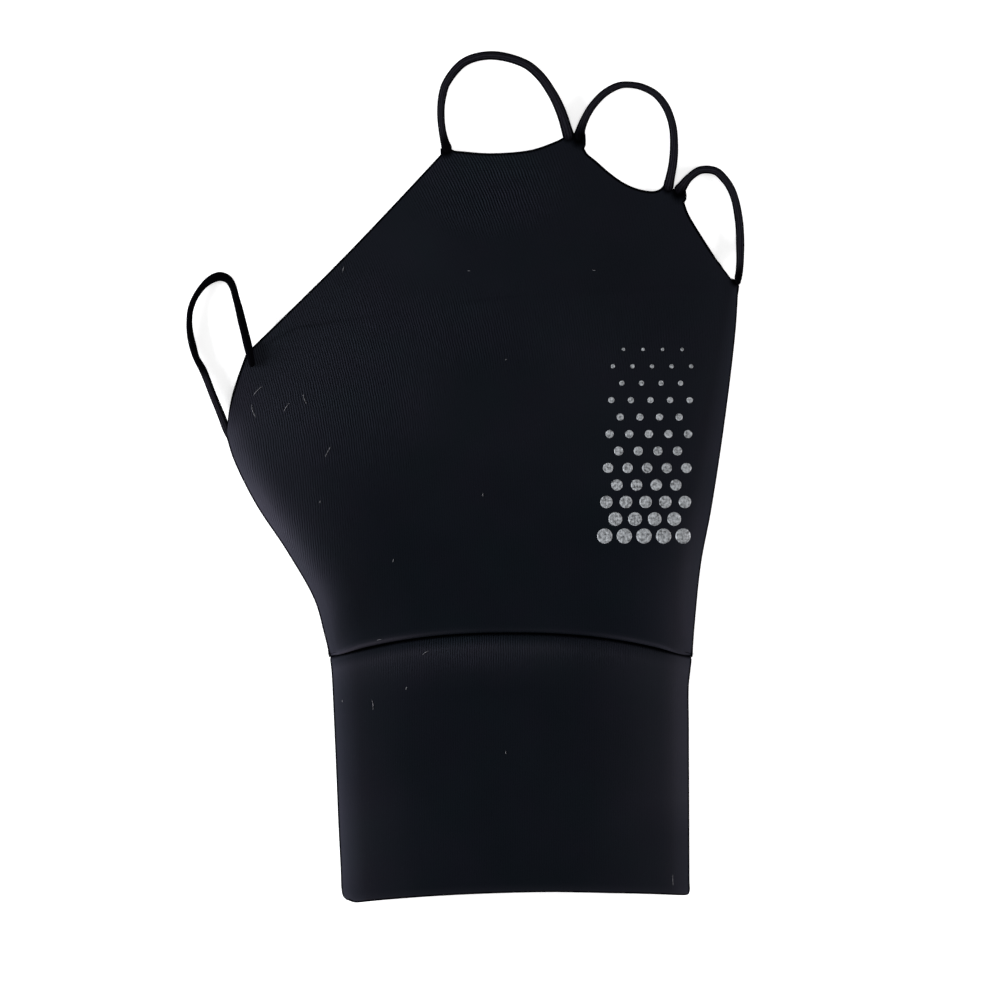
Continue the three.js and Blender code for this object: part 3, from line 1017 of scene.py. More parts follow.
@dataclass
class Cuff:
    """The band round the wrist: the same knit folded double, with its fold at the mouth.

    Each row of sections holds a section's y, its left and right side, its height, how far its middle
    arches up and how far its left side leans down; seam_section is the one at the seam. Each row of
    tuck holds how far above the seam a ring lies and how deep it is drawn in.
    """

    wall: float = 1.4
    reach: float = 5.2
    crown: float = 1.6
    crown_power: float = 0.8
    crown_sink: float = 0.8
    waves: Table = ((0.14, 26, 2.3), (0.04, 9, 5.9))
    rows: int = 96
    fold_columns: int = 12
    flat_columns: int = 120
    mouth_turns: int = 8
    mouth_corner: float = 2.0
    sections: Table = (
        (0.5, -35.5, 36.5, 9.6, 1.45, 1.95), (0.9, -36, 36.6, 9.7, 1.5, 1.9),
        (1.6, -36.33, 36.55, 9.75, 1.52, 1.83), (2.8, -36.52, 36.5, 9.8, 1.6, 1.65),
        (6, -36.65, 36.48, 10, 1.85, 1.2), (16, -37.17, 36.44, 10, 2.6, 0.6),
        (26, -37.6, 36.4, 10, 3.4, 0.2), (36, -38.05, 36.36, 9.9, 4.3, 0),
        (43.5, -38.4, 36.35, 9.8, 4.9, 0), (46.8, -38.6, 36.7, 9.7, 5.1, 0),
    )
    seam_section: tuple[float, ...] = (49.7, -39.0, 37.05, 9.6, 5.1, 0.0)
    tuck: Table = (
        (-2.6, 0.02), (-2, 0.06), (-1.5, 0.13), (-1.1, 0.24), (-0.8, 0.42), (-0.55, 0.75),
        (-0.4, 1.2), (-0.2, 2), (0.3, 2.6), (1.7, 2.8),
    )
    tuck_ends: Pair = (0.08, 7.0)
    tuck_slack: float = 0.4
    # How dark the painted shade in the groove under the seam gets.
    tuck_painted_shade: float = 0.88
    drift_reach: float = 12.0
    mouth_drift: Table = ((-36, 0.19), (0, 0.22), (8, 0.15), (13.5, 0), (20, -0.12), (36, -0.10))
    # Painted light along the folds and the mouth, just below the seam and across the little finger side.
    thumb_shine: Table = ((-3, 0.13), (4, 0.18), (18, 0.19), (25, 0.15), (50, 0.14))
    thumb_falloff: Table = (
        (0, 1), (1.1, 0.85), (2, 0.70), (3.2, 0.64), (4.7, 0.58), (6.4, 0.42), (7.6, 0.33),
        (10.6, 0.22), (16, 0.05), (22, 0),
    )
    little_shine: Table = ((-3, 0.09), (12, 0.11), (20, 0.20), (50, 0.20))
    little_falloff: Table = (
        (0, 0.6), (0.7, 0.9), (2, 1), (3.2, 1), (4.7, 0.78), (5.5, 0.55), (6.4, 0.43), (7.6, 0.36),
        (10.6, 0.22), (14, 0.08), (20, 0),
    )
    mouth_shine: Table = ((-3, 0.08), (3, 0.08))
    mouth_falloff: Table = ((0, 1), (0.5, 0.9), (1.3, 0.3), (2, 0))
    seam_shine: Table = ((-12, 0), (-8.4, 0.02), (-5, 0.06), (-3, 0.11), (-2.2, 0.06), (-1.4, 0))
    seam_spread: Table = ((-38, 1), (-20, 1.1), (5, 0.9), (14, 0.45), (37, 0.3))
    painted_glow_across: Table = ((0, 0), (14, 0.01), (22, 0.03), (37, 0.03))
    rib_patches: Table = ((-8, 52, 13, 4, 2.6), (14, 52, 15, 3.5, 1.2), (-23, 49, 8, 3.5, 0.7))
    sheet_size: Pair = (0.155, 0.051)

    def build(self, material: Material) -> Object:
        """Makes the cuff.

        Args:
            material: The finish of the knit.

        Returns:
            The finished piece.
        """
        rows = curve_through(self.sections, self.rows)
        outer = [self.ring(row) for row in rows]
        outer += [self.tucked(rows[-1], dy, deep) for dy, deep in self.tuck]
        mouth = self.mouth_fold(outer[0])
        inner = [Ring(ring.points + ring.inward * self.wall, ring.inward, ring.knit) for ring in outer]
        rings = outer[::-1] + mouth + inner
        points, _, knit = (np.vstack(blocks) for blocks in zip(*rings))
        numbers = np.arange(len(points)).reshape(len(rings), -1)
        faces = [face[::-1] for face in quads_between(list(numbers), closed=True)]
        shell = Shell(points, faces, knit)
        over_the_back = numbers.shape[1] // 2 + 1
        fold = mouth[len(mouth) // 2].points[:over_the_back]
        self.shade(shell, np.vstack([rows, self.seam_section]), fold)
        made = shell.piece("cuff_knit", material)
        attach(made, "root")
        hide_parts("wrist_cuff")
        return made

    def shade(self, shell: Shell, sections: Array, mouth: Array) -> None:
        """Gives the shell its painted shade along the folds and at the seam, and its painted light.

        Args:
            shell: The finished shell.
            sections: The sections from the mouth to the seam.
            mouth: The line of the fold at the mouth.
        """
        y, left, right, height, _, lean = sections.T
        # Painted shade lines and painted light along the folds and the mouth.
        Fold(np.column_stack([left, y - lean, height / 2]), self.thumb_shine, self.thumb_falloff).shade(shell)
        Fold(np.column_stack([right, y, height / 2]), self.little_shine, self.little_falloff).shade(shell)
        Fold(mouth, self.mouth_shine, self.mouth_falloff).shade(shell)
        x = shell.points[:, 0]
        up = shell.points[:, 1] - SEAM.y_at(x)
        # Painted light just below the seam, and a broad painted glow on the little finger side.
        shell.add_painted_light(by_table(self.seam_shine, up) * by_table(self.seam_spread, x))
        shell.add_painted_light(by_table(self.painted_glow_across, x))
        shell.show_ribs(self.rib_patches)
        # Painted shade in the groove where the cuff runs in under the hand.
        shell.blacken(self.tuck_painted_shade * smooth_step(up, -1.0, 0.0))

    def mouth_fold(self, first: Ring) -> list[Ring]:
        """Draws the fold at the mouth.

        Args:
            first: The first ring of the outside.

        Returns:
            The rings that turn from the outside to the inside.
        """
        x = first.points[:, 0]
        inset = np.clip((x - x.min()) / self.mouth_corner, 0, 1)
        droop = self.wall / 2 * inset * (2 - inset)
        made = []
        for turn in np.linspace(0, math.pi, self.mouth_turns + 1)[1:-1]:
            moved = first.points + first.inward * (self.wall / 2 * (1 - math.cos(turn)))
            moved[:, 1] -= droop * math.sin(turn)
            made.append(Ring(moved, first.inward, first.knit - np.array((0.0, self.wall / 2 * turn))))
        return made

    def tucked(self, last: Array, dy: float, deep: float) -> Ring:
        """Draws one ring of the tuck, where the cuff runs in under the hand.

        Args:
            last: The last section before the tuck.
            dy: How far above the seam the ring lies.
            deep: How deep it is drawn in.

        Returns:
            The ring.
        """
        share = np.clip((SEAM.end_y + dy - last[0]) / (SEAM.end_y - last[0]), 0, 1)
        base, into, lay = self.ring(last + share * (np.array(self.seam_section) - last))
        x = base[:, 0]
        at_x = held_ends(x, self.seam_section[1], self.seam_section[2], self.tuck_ends)
        moved = base + into * (deep * at_x)[:, None]
        moved[:, 1] = SEAM.y_at(x) + dy
        lay[:, 1] = moved[:, 1] + self.tuck_slack * deep
        return Ring(moved, into, lay)

    def ring(self, section: Array) -> Ring:
        """Draws one section of the cuff, once round, over the back first.

        Args:
            section: Its y, left, right, height, rise and lean.

        Returns:
            The ring.
        """
        y, left, right, height, rise, lean = section
        turn = quarter(self.fold_columns)
        inset = self.reach * (1 - np.cos(turn))
        flat = np.linspace(left + self.reach, right - self.reach, self.flat_columns + 1)[1:-1]
        xs = np.concatenate([left + inset, flat, (right - inset)[::-1]])
        angle = np.concatenate([turn, np.full(len(flat), QUARTER), turn[::-1]])
        side = np.where(xs < 0, 1.0, -1.0)
        grain = self.reach * (QUARTER - angle - np.cos(angle)) * -side
        share = (xs - left) / (right - left)
        ys = y + rise * SEAM.arch(share) - lean * (1 - share)
        ys += by_table(self.mouth_drift, xs) * (1 - smooth_step(y, 0.0, self.drift_reach))
        dome = self.crown * (np.sin(math.pi * share) ** self.crown_power - self.crown_sink)
        lift = np.sin(angle) * (dome + ripples(np.column_stack([xs, ys]), self.waves))
        layers = []
        for through in (1.0, -1.0):
            z = height / 2 + through * (height / 2 * np.sin(angle)) + (lift if through > 0 else 0.0)
            into = np.column_stack([side * np.cos(angle), np.zeros(len(xs)), -through * np.sin(angle)])
            layers.append((np.column_stack([xs, ys, z]), into, np.column_stack([xs + grain, ys])))
        return Ring(*(np.vstack([over, under[-2:0:-1]]) for over, under in zip(*layers)))


@dataclass
class Loop:
    """An elastic loop, its two ends sewn into the cloth.

    Each row of course holds a point of the cord's middle, how wide the cord is there and how solid
    black its thread is. The width is uneven by a share of itself, in waves of one length.
    """

    name: str
    node: str
    course: Table
    flatness: float = 0.84
    tip: float = 0.02
    uneven: float = 0.035
    wave: float = 5.0
    seed: float = 7.7
    sides: int = 18
    steps: int = 150
    cap_steps: int = 6

    def build(self, material: Material) -> Object:
        """Makes the loop as one closed tube with rounded ends.

        Args:
            material: The finish of the elastic.

        Returns:
            The finished piece.
        """
        line = curve_through(self.course, LINE_STEPS)
        length = reach_along(line[:, :3])[-1]
        first, last = line[0, 3] / 2, line[-1, 3] / 2
        turn = quarter(self.cap_steps)
        body = np.linspace(first, length - last, self.steps)[1:-1]
        reached = np.concatenate([
            first * (1 - np.cos(turn)), body, (length - last * (1 - np.cos(turn)))[::-1],
        ])
        full = np.concatenate([np.sin(turn), np.ones(len(body)), np.sin(turn)[::-1]])
        full[0] = full[-1] = self.tip
        run = resample(line, reached / length)
        middle, width, black = run[:, :3], run[:, 3], np.clip(run[:, 4], 0, 1)
        along = unit(np.gradient(middle, reached, axis=0))
        side = unit(np.cross(along, UP))
        top = unit(np.cross(side, along))
        waves = [noise.noise(Vector((s / self.wave, middle[0, 0], self.seed))) for s in reached]
        radius = width / 2 * full * (1 + self.uneven * np.array(waves))
        tall = np.minimum(radius * self.flatness, middle[:, 2])
        angles = np.linspace(0, math.tau, self.sides, endpoint=False)
        places = (
            middle[:, None]
            + (radius[:, None] * np.cos(angles))[..., None] * side[:, None]
            + (tall[:, None] * np.sin(angles))[..., None] * top[:, None]
        )
        knit = np.column_stack([np.tile(angles / math.tau, len(reached)), np.repeat(reached, self.sides)])
        faces = tube_faces(0, len(reached), self.sides)
        shell = Shell(places.reshape(-1, 3), faces, knit, np.repeat(black, self.sides))
        made = shell.piece(self.name, material)
        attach(made, "root")
        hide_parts(self.node)
        return made


LOOPS = (
    Loop("thumb_elastic", "thumb_loop", (
        (-60.3, 95.6, 2, 0.9, 0), (-60.8, 97.4, 1.7, 1.56, 0), (-61.7, 99.9, 1.3, 1.66, 0),
        (-63.8, 105, 1, 1.58, 0), (-64.75, 107.5, 0.95, 1.58, 0), (-65.8, 110, 0.9, 1.66, 1),
        (-67.15, 112.5, 0.85, 1.44, 1), (-67.9, 115, 0.85, 1.57, 1), (-68.45, 117.6, 0.85, 1.47, 1),
        (-68.6, 120.1, 0.85, 1.3, 1), (-68.35, 122.6, 0.85, 1.28, 1), (-67.4, 125.1, 0.85, 1.28, 1),
        (-65.55, 127.7, 0.85, 1.49, 1), (-63.7, 129.1, 0.85, 1.86, 1), (-62, 129.55, 0.85, 1.96, 1),
        (-60.4, 128.9, 0.85, 1.73, 1), (-59.5, 127.5, 0.9, 1.56, 1), (-58.8, 125.1, 1.1, 1.53, 1),
        (-58.1, 122.6, 1.4, 1.67, 1), (-57.5, 120.1, 1.9, 1.77, 1), (-56.85, 117.6, 2.5, 1.77, 1),
        (-56.2, 115, 3.15, 1.87, 1), (-55.75, 113.1, 3.5, 1.67, 1), (-55.45, 111.6, 3.65, 1.42, 1),
        (-55.3, 110.4, 3.5, 1, 1),
    )),
    Loop("middle_finger_elastic", "middle_finger_loop", (
        (-14.2, 155.6, 0.55, 2.4, 1), (-14.5, 156.7, 0.7, 2.17, 1), (-14.87, 157.9, 0.8, 1.83, 1),
        (-15.4, 160.4, 0.85, 1.58, 0), (-15.66, 162.9, 0.85, 1.6, 0), (-15.64, 165.5, 0.85, 1.66, 0),
        (-15.27, 168, 0.85, 1.77, 0), (-14.5, 170.3, 0.85, 1.77, 0), (-10.8, 174.6, 0.85, 1.84, 0),
        (-5.2, 176.05, 0.85, 1.85, 0), (1.8, 174.4, 0.85, 1.9, 0), (5.1, 171.8, 0.85, 1.99, 0),
        (7.77, 168, 0.85, 2, 0), (9.05, 165.5, 0.85, 2.11, 0), (10.06, 162.9, 0.85, 2.21, 0),
        (10.8, 160.4, 0.8, 2.37, 0), (11.1, 159.4, 0.7, 2.47, 0.3), (11.2, 158, 0.5, 2.3, 1),
    )),
    Loop("ring_finger_elastic", "ring_finger_loop", (
        (13.41, 158, 0.5, 2.3, 1), (13.51, 159.4, 0.7, 2.37, 1), (13.71, 160.4, 0.8, 2.01, 0.8),
        (14.69, 162.9, 0.85, 1.71, 0), (16.26, 165.5, 0.85, 1.64, 0), (18.76, 168.1, 0.85, 1.62, 0),
        (21.46, 169.6, 0.85, 1.55, 0), (23.16, 169.9, 0.85, 1.41, 0), (26.31, 169.5, 0.85, 1.45, 0),
        (29.46, 167.9, 0.85, 1.57, 0), (31.49, 165.5, 0.85, 1.65, 0), (32.63, 162.9, 0.85, 1.66, 0),
        (33.2, 160.4, 0.85, 1.69, 0), (33.36, 157.9, 0.85, 1.74, 0), (33.33, 155.4, 0.85, 1.81, 0),
        (33.06, 152.9, 0.85, 1.85, 0), (32.56, 150.35, 0.85, 1.97, 0), (32.21, 148.6, 0.7, 2.17, 0.4),
        (32.11, 147.4, 0.5, 2, 1),
    )),
    Loop("little_finger_elastic", "little_finger_loop", (
        (34.08, 146.9, 0.5, 2.4, 1), (34.53, 147.7, 0.65, 2.55, 0.8), (35.28, 148.75, 0.8, 2.1, 0.3),
        (36.48, 150.25, 0.85, 1.73, 0), (38.93, 151.9, 0.85, 1.7, 0), (42.08, 151.7, 0.85, 1.69, 0),
        (44.08, 149.9, 0.85, 1.69, 0), (45.38, 147.9, 0.85, 1.66, 0), (46.28, 145.4, 0.85, 1.65, 0),
        (46.78, 142.9, 0.85, 1.72, 0), (47.13, 140.3, 0.85, 1.75, 0), (47.28, 136.4, 0.9, 1.75, 0),
        (47.23, 132.8, 1.4, 1.62, 0), (47.03, 130.4, 1.9, 1.57, 0.9), (46.78, 129, 2.3, 1.52, 1),
        (46.78, 127.7, 2.7, 0.9, 1),
    )),
)


class Surface:
    """The top of a finished piece, to lay thin things on."""

    above = 60.0

    def __init__(self, piece: Object) -> None:
        """Reads the piece's faces once."""
        corners = [vertex.co for vertex in piece.data.vertices]
        self.tree = BVHTree.FromPolygons(corners, [tuple(face.vertices) for face in piece.data.polygons])

    def top_at(self, x: float, y: float) -> float:
        """Returns the drawn height of the surface at a drawn place."""
        hit = self.tree.ray_cast(Vector(DRAWING.place((x, y, self.above))), -Vector(UP))[0]
        return 0.0 if hit is None else float(DRAWING.drawn(hit)[2])


@dataclass
class DotPrint:
    """A plain print of dots in rows that shrink towards the fingers, pressed onto the knit.

    Each row of profile holds how far out a ring of a dot lies, as a share of its radius, and how high
    over the cloth. An outline wobbles by this share.
    """

    left: float = 18.6
    bottom: float = 75.0
    pitch: float = 4.1
    columns: int = 5
    rows: int = 12
    largest: float = 1.62
    smallest: float = 0.34
    shrink_power: float = 0.85
    lean: float = 0.05
    film: float = 0.05
    profile: Table = ((0.4, 0.05), (0.75, 0.05), (0.97, 0.04), (1, -0.12))
    wobble: float = 0.02
    seed: float = 3.3
    sides: int = 28

    def build(self, surface: Surface, material: Material) -> Object:
        """Makes all the dots as one piece.

        Args:
            surface: The cloth that they lie on.
            material: The finish of the print.

        Returns:
            The finished piece.
        """
        points: list[Place] = []
        faces: Faces = []
        for row in range(self.rows):
            share = row / (self.rows - 1)
            radius = self.largest + (self.smallest - self.largest) * share**self.shrink_power
            y = self.bottom + row * self.pitch * math.sqrt(3) / 2
            for column in range(self.columns - row % 2):
                x = self.left + (column + row % 2 / 2) * self.pitch + self.lean * (y - self.bottom)
                faces += self.dot_faces(len(points))
                points += self.dot_points(surface, (x, y), radius)
        places = np.array(points)
        shell = Shell(places, faces, places[:, :2])
        made = shell.piece("dot_print", material)
        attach(made, "root")
        return made

    def dot_points(self, surface: Surface, centre: Pair, radius: float) -> list[Place]:
        """Draws one dot, a low disc that follows the cloth.

        Args:
            surface: The cloth.
            centre: The dot's middle, x and y.
            radius: The dot's radius.

        Returns:
            Its middle, then its rings from the inside out.
        """
        spots = [(*centre, self.film)]
        for share, lift in self.profile:
            for k in range(self.sides):
                angle = math.tau * k / self.sides
                x, y = centre[0] + math.cos(angle), centre[1] + math.sin(angle)
                reach = radius * share * (1 + self.wobble * noise.noise(Vector((x, y, self.seed))))
                x, y = centre[0] + reach * math.cos(angle), centre[1] + reach * math.sin(angle)
                spots.append((x, y, lift))
        return [(x, y, surface.top_at(x, y) + lift) for x, y, lift in spots]

    def dot_faces(self, first: int) -> Faces:
        """Makes the faces of one dot.

        Args:
            first: The number of its middle.

        Returns:
            The faces.
        """
        rings = first + 1 + np.arange(len(self.profile) * self.sides).reshape(-1, self.sides)
        faces = [(first, int(a), int(b)) for a, b in zip(rings[0], np.roll(rings[0], -1))]
        faces += [face[::-1] for face in quads_between(list(rings), closed=False)]
        return [*faces, tuple(rings[-1][::-1].tolist())]


@dataclass
class Lint:
    """Hair-thin fibres caught on the knit.

    Each row of marks holds the x and y of a fibre's middle, its direction in degrees, its length and
    how much it bends. Between beads a fibre is thinner by waist, and at its ends by taper.
    """

    marks: Table = (
        (-44.2, 103.7, 110, 2, 0.08), (-39.2, 92.6, 63, 2.4, 0.08), (-54.1, 105.4, 46, 2.8, 0.12),
        (-54.9, 101.2, 109, 3, 0.24), (-48, 102, 56, 2, 0.08), (-28.4, 53.3, 14, 1.2, 0.08),
        (-36.2, 131, 79, 1.3, 0.04), (16.5, 130.8, 175, 0.8, 0.08), (-9.8, 130.6, 0, 0.6, 0.04),
        (-2, 111.9, 30, 0.5, 0.04), (-2, 29.8, 90, 0.7, 0.04), (-36.2, 40.5, 90, 0.5, 0.04),
        (-29.9, 39.7, 97, 1.9, -0.12), (-22.8, 43.2, 72, 0.7, 0.04), (-25.5, 69.9, 72, 0.7, 0.04),
        (-40.8, 82.1, 72, 0.6, 0.04), (-6.8, 83.6, 90, 0.6, 0.04), (-18.8, 50.6, 32, 1.5, 0.08),
        (32.9, 3.1, 92, 2.2, 0.04),
    )
    thickness: float = 0.09
    bead: float = 0.9
    waist: float = 0.3
    taper: float = 0.7
    steps: int = 24
    sides: int = 5

    def build(self, surfaces: Sequence[Surface], material: Material) -> Object:
        """Lays all the fibres on the cloth as one piece.

        Args:
            surfaces: The pieces of cloth that they may lie on.
            material: The finish of the fibres.

        Returns:
            The finished piece.
        """
        tubes: list[Array] = []
        faces: Faces = []
        share = np.linspace(-0.5, 0.5, self.steps)
        ends = 1 - self.taper * (2 * share) ** 4
        angles = np.linspace(0, math.tau, self.sides, endpoint=False)
        for x0, y0, heading, length, bend in self.marks:
            along = np.array((math.cos(math.radians(heading)), math.sin(math.radians(heading))))
            beside = np.array((-along[1], along[0]))
            flat = np.array((x0, y0)) + np.outer(share * length, along)
            flat += np.outer(bend * (1 - 4 * share**2), beside)
            top = [max(surface.top_at(x, y) for surface in surfaces) for x, y in flat]
            middle = np.column_stack([flat, np.array(top) + self.thickness / 2])
            beads = self.waist + (1 - self.waist) * np.abs(np.cos(math.pi * share * length / self.bead))
            width = self.thickness / 2 * ends * beads
            rim = np.cos(angles)[:, None] * np.array((*beside, 0.0)) + np.sin(angles)[:, None] * UP
            made = tube_faces(len(tubes) * self.steps * self.sides, self.steps, self.sides)
            faces += [face[::-1] for face in made]
            tubes.append((middle[:, None] + width[:, None, None] * rim[None]).reshape(-1, 3))
        places = np.vstack(tubes)
        shell = Shell(places, faces, places[:, :2])
        made = shell.piece("lint_fibres", material)
        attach(made, "root")
        return made


class Graph:
    """Adds nodes and links to one node tree.

    A source is an output to link, or a number or colour to set.
    """

    def __init__(self, tree: NodeTree) -> None:
        """Takes the tree to build in."""
        self.tree = tree

    def node(self, kind: str, **settings: object) -> Node:
        """Adds a node.

        Args:
            kind: The type of the node.
            **settings: Its properties.

        Returns:
            The node.
        """
        made = self.tree.nodes.new(kind)
        for name, value in settings.items():
            setattr(made, name, value)
        return made

    def put(self, source: object, socket: NodeSocket) -> None:
        """Feeds one socket.

        Args:
            source: What goes in.
            socket: Where it goes.
        """
        if isinstance(source, NodeSocket):
            self.tree.links.new(source, socket)
        else:
            socket.default_value = (*source, 1) if socket.type == "RGBA" else source

    def feed(self, node: Node, **sources: object) -> Node:
        """Feeds the inputs of a node.

        Args:
            node: The node.
            **sources: A source for each input, with underscores for the spaces in its name.

        Returns:
            The node.
        """
        for name, source in sources.items():
            self.put(source, node.inputs[name.replace("_", " ")])
        return node

    def use(self, group: NodeTree, **sources: object) -> Node:
        """Adds a group and feeds it."""
        return self.feed(self.node("ShaderNodeGroup", node_tree=group), **sources)

    def attribute(self, name: str, output: str = "Fac") -> NodeSocket:
        """Reads an attribute of the mesh."""
        return self.node("ShaderNodeAttribute", attribute_name=name).outputs[output]

    def split(self, vector: object) -> NodeOutputs:
        """Returns the three parts of a vector."""
        return self.feed(self.node("ShaderNodeSeparateXYZ"), Vector=vector).outputs

    def math(self, operation: str, *sources: object) -> NodeSocket:
        """Works out one step.

        Args:
            operation: What to do.
            *sources: What to do it with.

        Returns:
            The result.
        """
        made = self.node("ShaderNodeMath", operation=operation)
        for source, socket in zip(sources, made.inputs):
            self.put(source, socket)
        return made.outputs[0]

    def ramp(
        self, value: object, start: float, end: float, low: float = 0.0, high: float = 1.0
    ) -> NodeSocket:
        """Maps a value from one range to another, held at both ends.

        Args:
            value: The source to map.
            start: The result at low.
            end: The result at high.
            low: Where the first range begins.
            high: Where it ends.

        Returns:
            The result.
        """
        made = self.node("ShaderNodeMapRange")
        self.feed(made, Value=value, From_Min=low, From_Max=high, To_Min=start, To_Max=end)
        return made.outputs["Result"]

    def mix(self, factor: object, dark: object, light: object, held: bool = True) -> NodeSocket:
        """Mixes two colours.

        Args:
            factor: How much of the second there is.
            dark: The first colour.
            light: The second colour.
            held: Whether the factor is held between 0 and 1.

        Returns:
            The mixed colour.
        """
        made = self.node("ShaderNodeMix", data_type="RGBA", clamp_factor=held)
        colours = [socket for socket in made.inputs if socket.type == "RGBA"]
        for source, socket in zip((factor, dark, light), (made.inputs[0], *colours)):
            self.put(source, socket)
        return made.outputs[2]

    def noise(self, vector: object, scale: object, detail: float) -> NodeSocket:
        """Adds a noise texture and returns its value."""
        made = self.feed(self.node("ShaderNodeTexNoise"), Vector=vector, Scale=scale, Detail=detail)
        return made.outputs[0]

    def bump(self, height: object, distance: float) -> NodeSocket:
        """Returns the normal of a surface raised by this height times this distance in metres."""
        made = self.feed(self.node("ShaderNodeBump"), Height=height, Distance=distance)
        return made.outputs["Normal"]


def new_group(name: str, inputs: dict[str, str], outputs: Sequence[str]) -> tuple[Graph, Node, Node]:
    """Makes an empty shader group.

    Args:
        name: The group's name.
        inputs: The name and the kind of each input.
        outputs: The name of each output, all of them numbers.

    Returns:
        The graph to build in, the node with the inputs and the node with the outputs.
    """
    tree = bpy.data.node_groups.new(name, "ShaderNodeTree")
    for label, kind in inputs.items():
        tree.interface.new_socket(name=label, in_out="INPUT", socket_type=kind)
    for label in outputs:
        tree.interface.new_socket(name=label, in_out="OUTPUT", socket_type="NodeSocketFloat")
    graph = Graph(tree)
    return graph, graph.node("NodeGroupInput"), graph.node("NodeGroupOutput")


@dataclass(frozen=True)
class RibKnit:
    """The pattern of a fine ribbed knit: round ribs that sway a little, with slanted stitches in them."""

    sway: float = 0.22
    sway_scale: float = 0.35
    roundness: float = 0.7
    slant: float = 0.45
    dip: float = 0.88

    def build(self) -> NodeTree:
        """Makes the shader group.

        Returns:
            The group.
        """
        graph, given, made = new_group(
            "FineRibKnit",
            {"Knit": "NodeSocketVector", "Rib Pitch": "NodeSocketFloat", "Stitch Pitch": "NodeSocketFloat"},
            ("Height", "Groove"),
        )
        knit, rib_pitch, stitch_pitch = given.outputs[:3]
        x, y, _ = graph.split(knit)
        sway = graph.ramp(graph.noise(knit, self.sway_scale, 1.0), -self.sway, self.sway)
        across = graph.math("DIVIDE", graph.math("ADD", x, sway), rib_pitch)
        swing = graph.math("ABSOLUTE", graph.math("SINE", graph.math("MULTIPLY", across, math.pi)))
        rib = graph.math("POWER", swing, self.roundness)
        along = graph.math("DIVIDE", y, stitch_pitch)
        slanted = graph.math("ADD", along, graph.math("MULTIPLY", swing, self.slant))
        wave = graph.math("SINE", graph.math("MULTIPLY", slanted, math.tau))
        stitch = graph.ramp(graph.ramp(wave, 0.0, 1.0, low=-1.0), self.dip, 1.0)
        graph.feed(made, Height=graph.math("MULTIPLY", rib, stitch), Groove=graph.math("SUBTRACT", 1.0, rib))
        return graph.tree


@dataclass(frozen=True)
class SoftMottle:
    """A soft unevenness out of a broad and a fine noise, between these two values of it."""

    low: float = 0.3
    high: float = 0.7
    broad_detail: float = 2.0
    fine_detail: float = 3.0

    def build(self) -> NodeTree:
        """Makes the shader group.

        Returns:
            The group.
        """
        graph, given, made = new_group(
            "SoftMottle",
            {"Vector": "NodeSocketVector", "Broad Scale": "NodeSocketFloat", "Fine Scale": "NodeSocketFloat"},
            ("Broad", "Fine"),
        )
        for name, detail in (("Broad", self.broad_detail), ("Fine", self.fine_detail)):
            value = graph.noise(given.outputs["Vector"], given.outputs[f"{name} Scale"], detail)
            graph.put(graph.ramp(value, 0.0, 1.0, self.low, self.high), made.inputs[name])
        return graph.tree


@dataclass(frozen=True)
class ShaderGroups:
    """The shader groups that the finishes share."""

    knit: NodeTree
    mottle: NodeTree

    @classmethod
    def make(cls) -> "ShaderGroups":
        """Makes each group once."""
        return cls(knit=RibKnit().build(), mottle=SoftMottle().build())

    def ribs(self, graph: Graph, knit: object, pitches: Pair) -> NodeOutputs:
        """Places the knit in a material, with the pitch of its ribs and of its stitches."""
        return graph.use(self.knit, Knit=knit, Rib_Pitch=pitches[0], Stitch_Pitch=pitches[1]).outputs

    def spots(self, graph: Graph, vector: object, scales: Pair) -> NodeOutputs:
        """Places the mottle in a material, with its broad and its fine scale."""
        return graph.use(self.mottle, Vector=vector, Broad_Scale=scales[0], Fine_Scale=scales[1]).outputs


def new_material(name: str) -> tuple[Material, Graph, Node]:
    """Makes a material.

    Args:
        name: The name of the material.

    Returns:
        The material, the graph to build in and the Principled shader.
    """
    material = bpy.data.materials.new(name)
    material.use_nodes = True
    return material, Graph(material.node_tree), material.node_tree.nodes["Principled BSDF"]


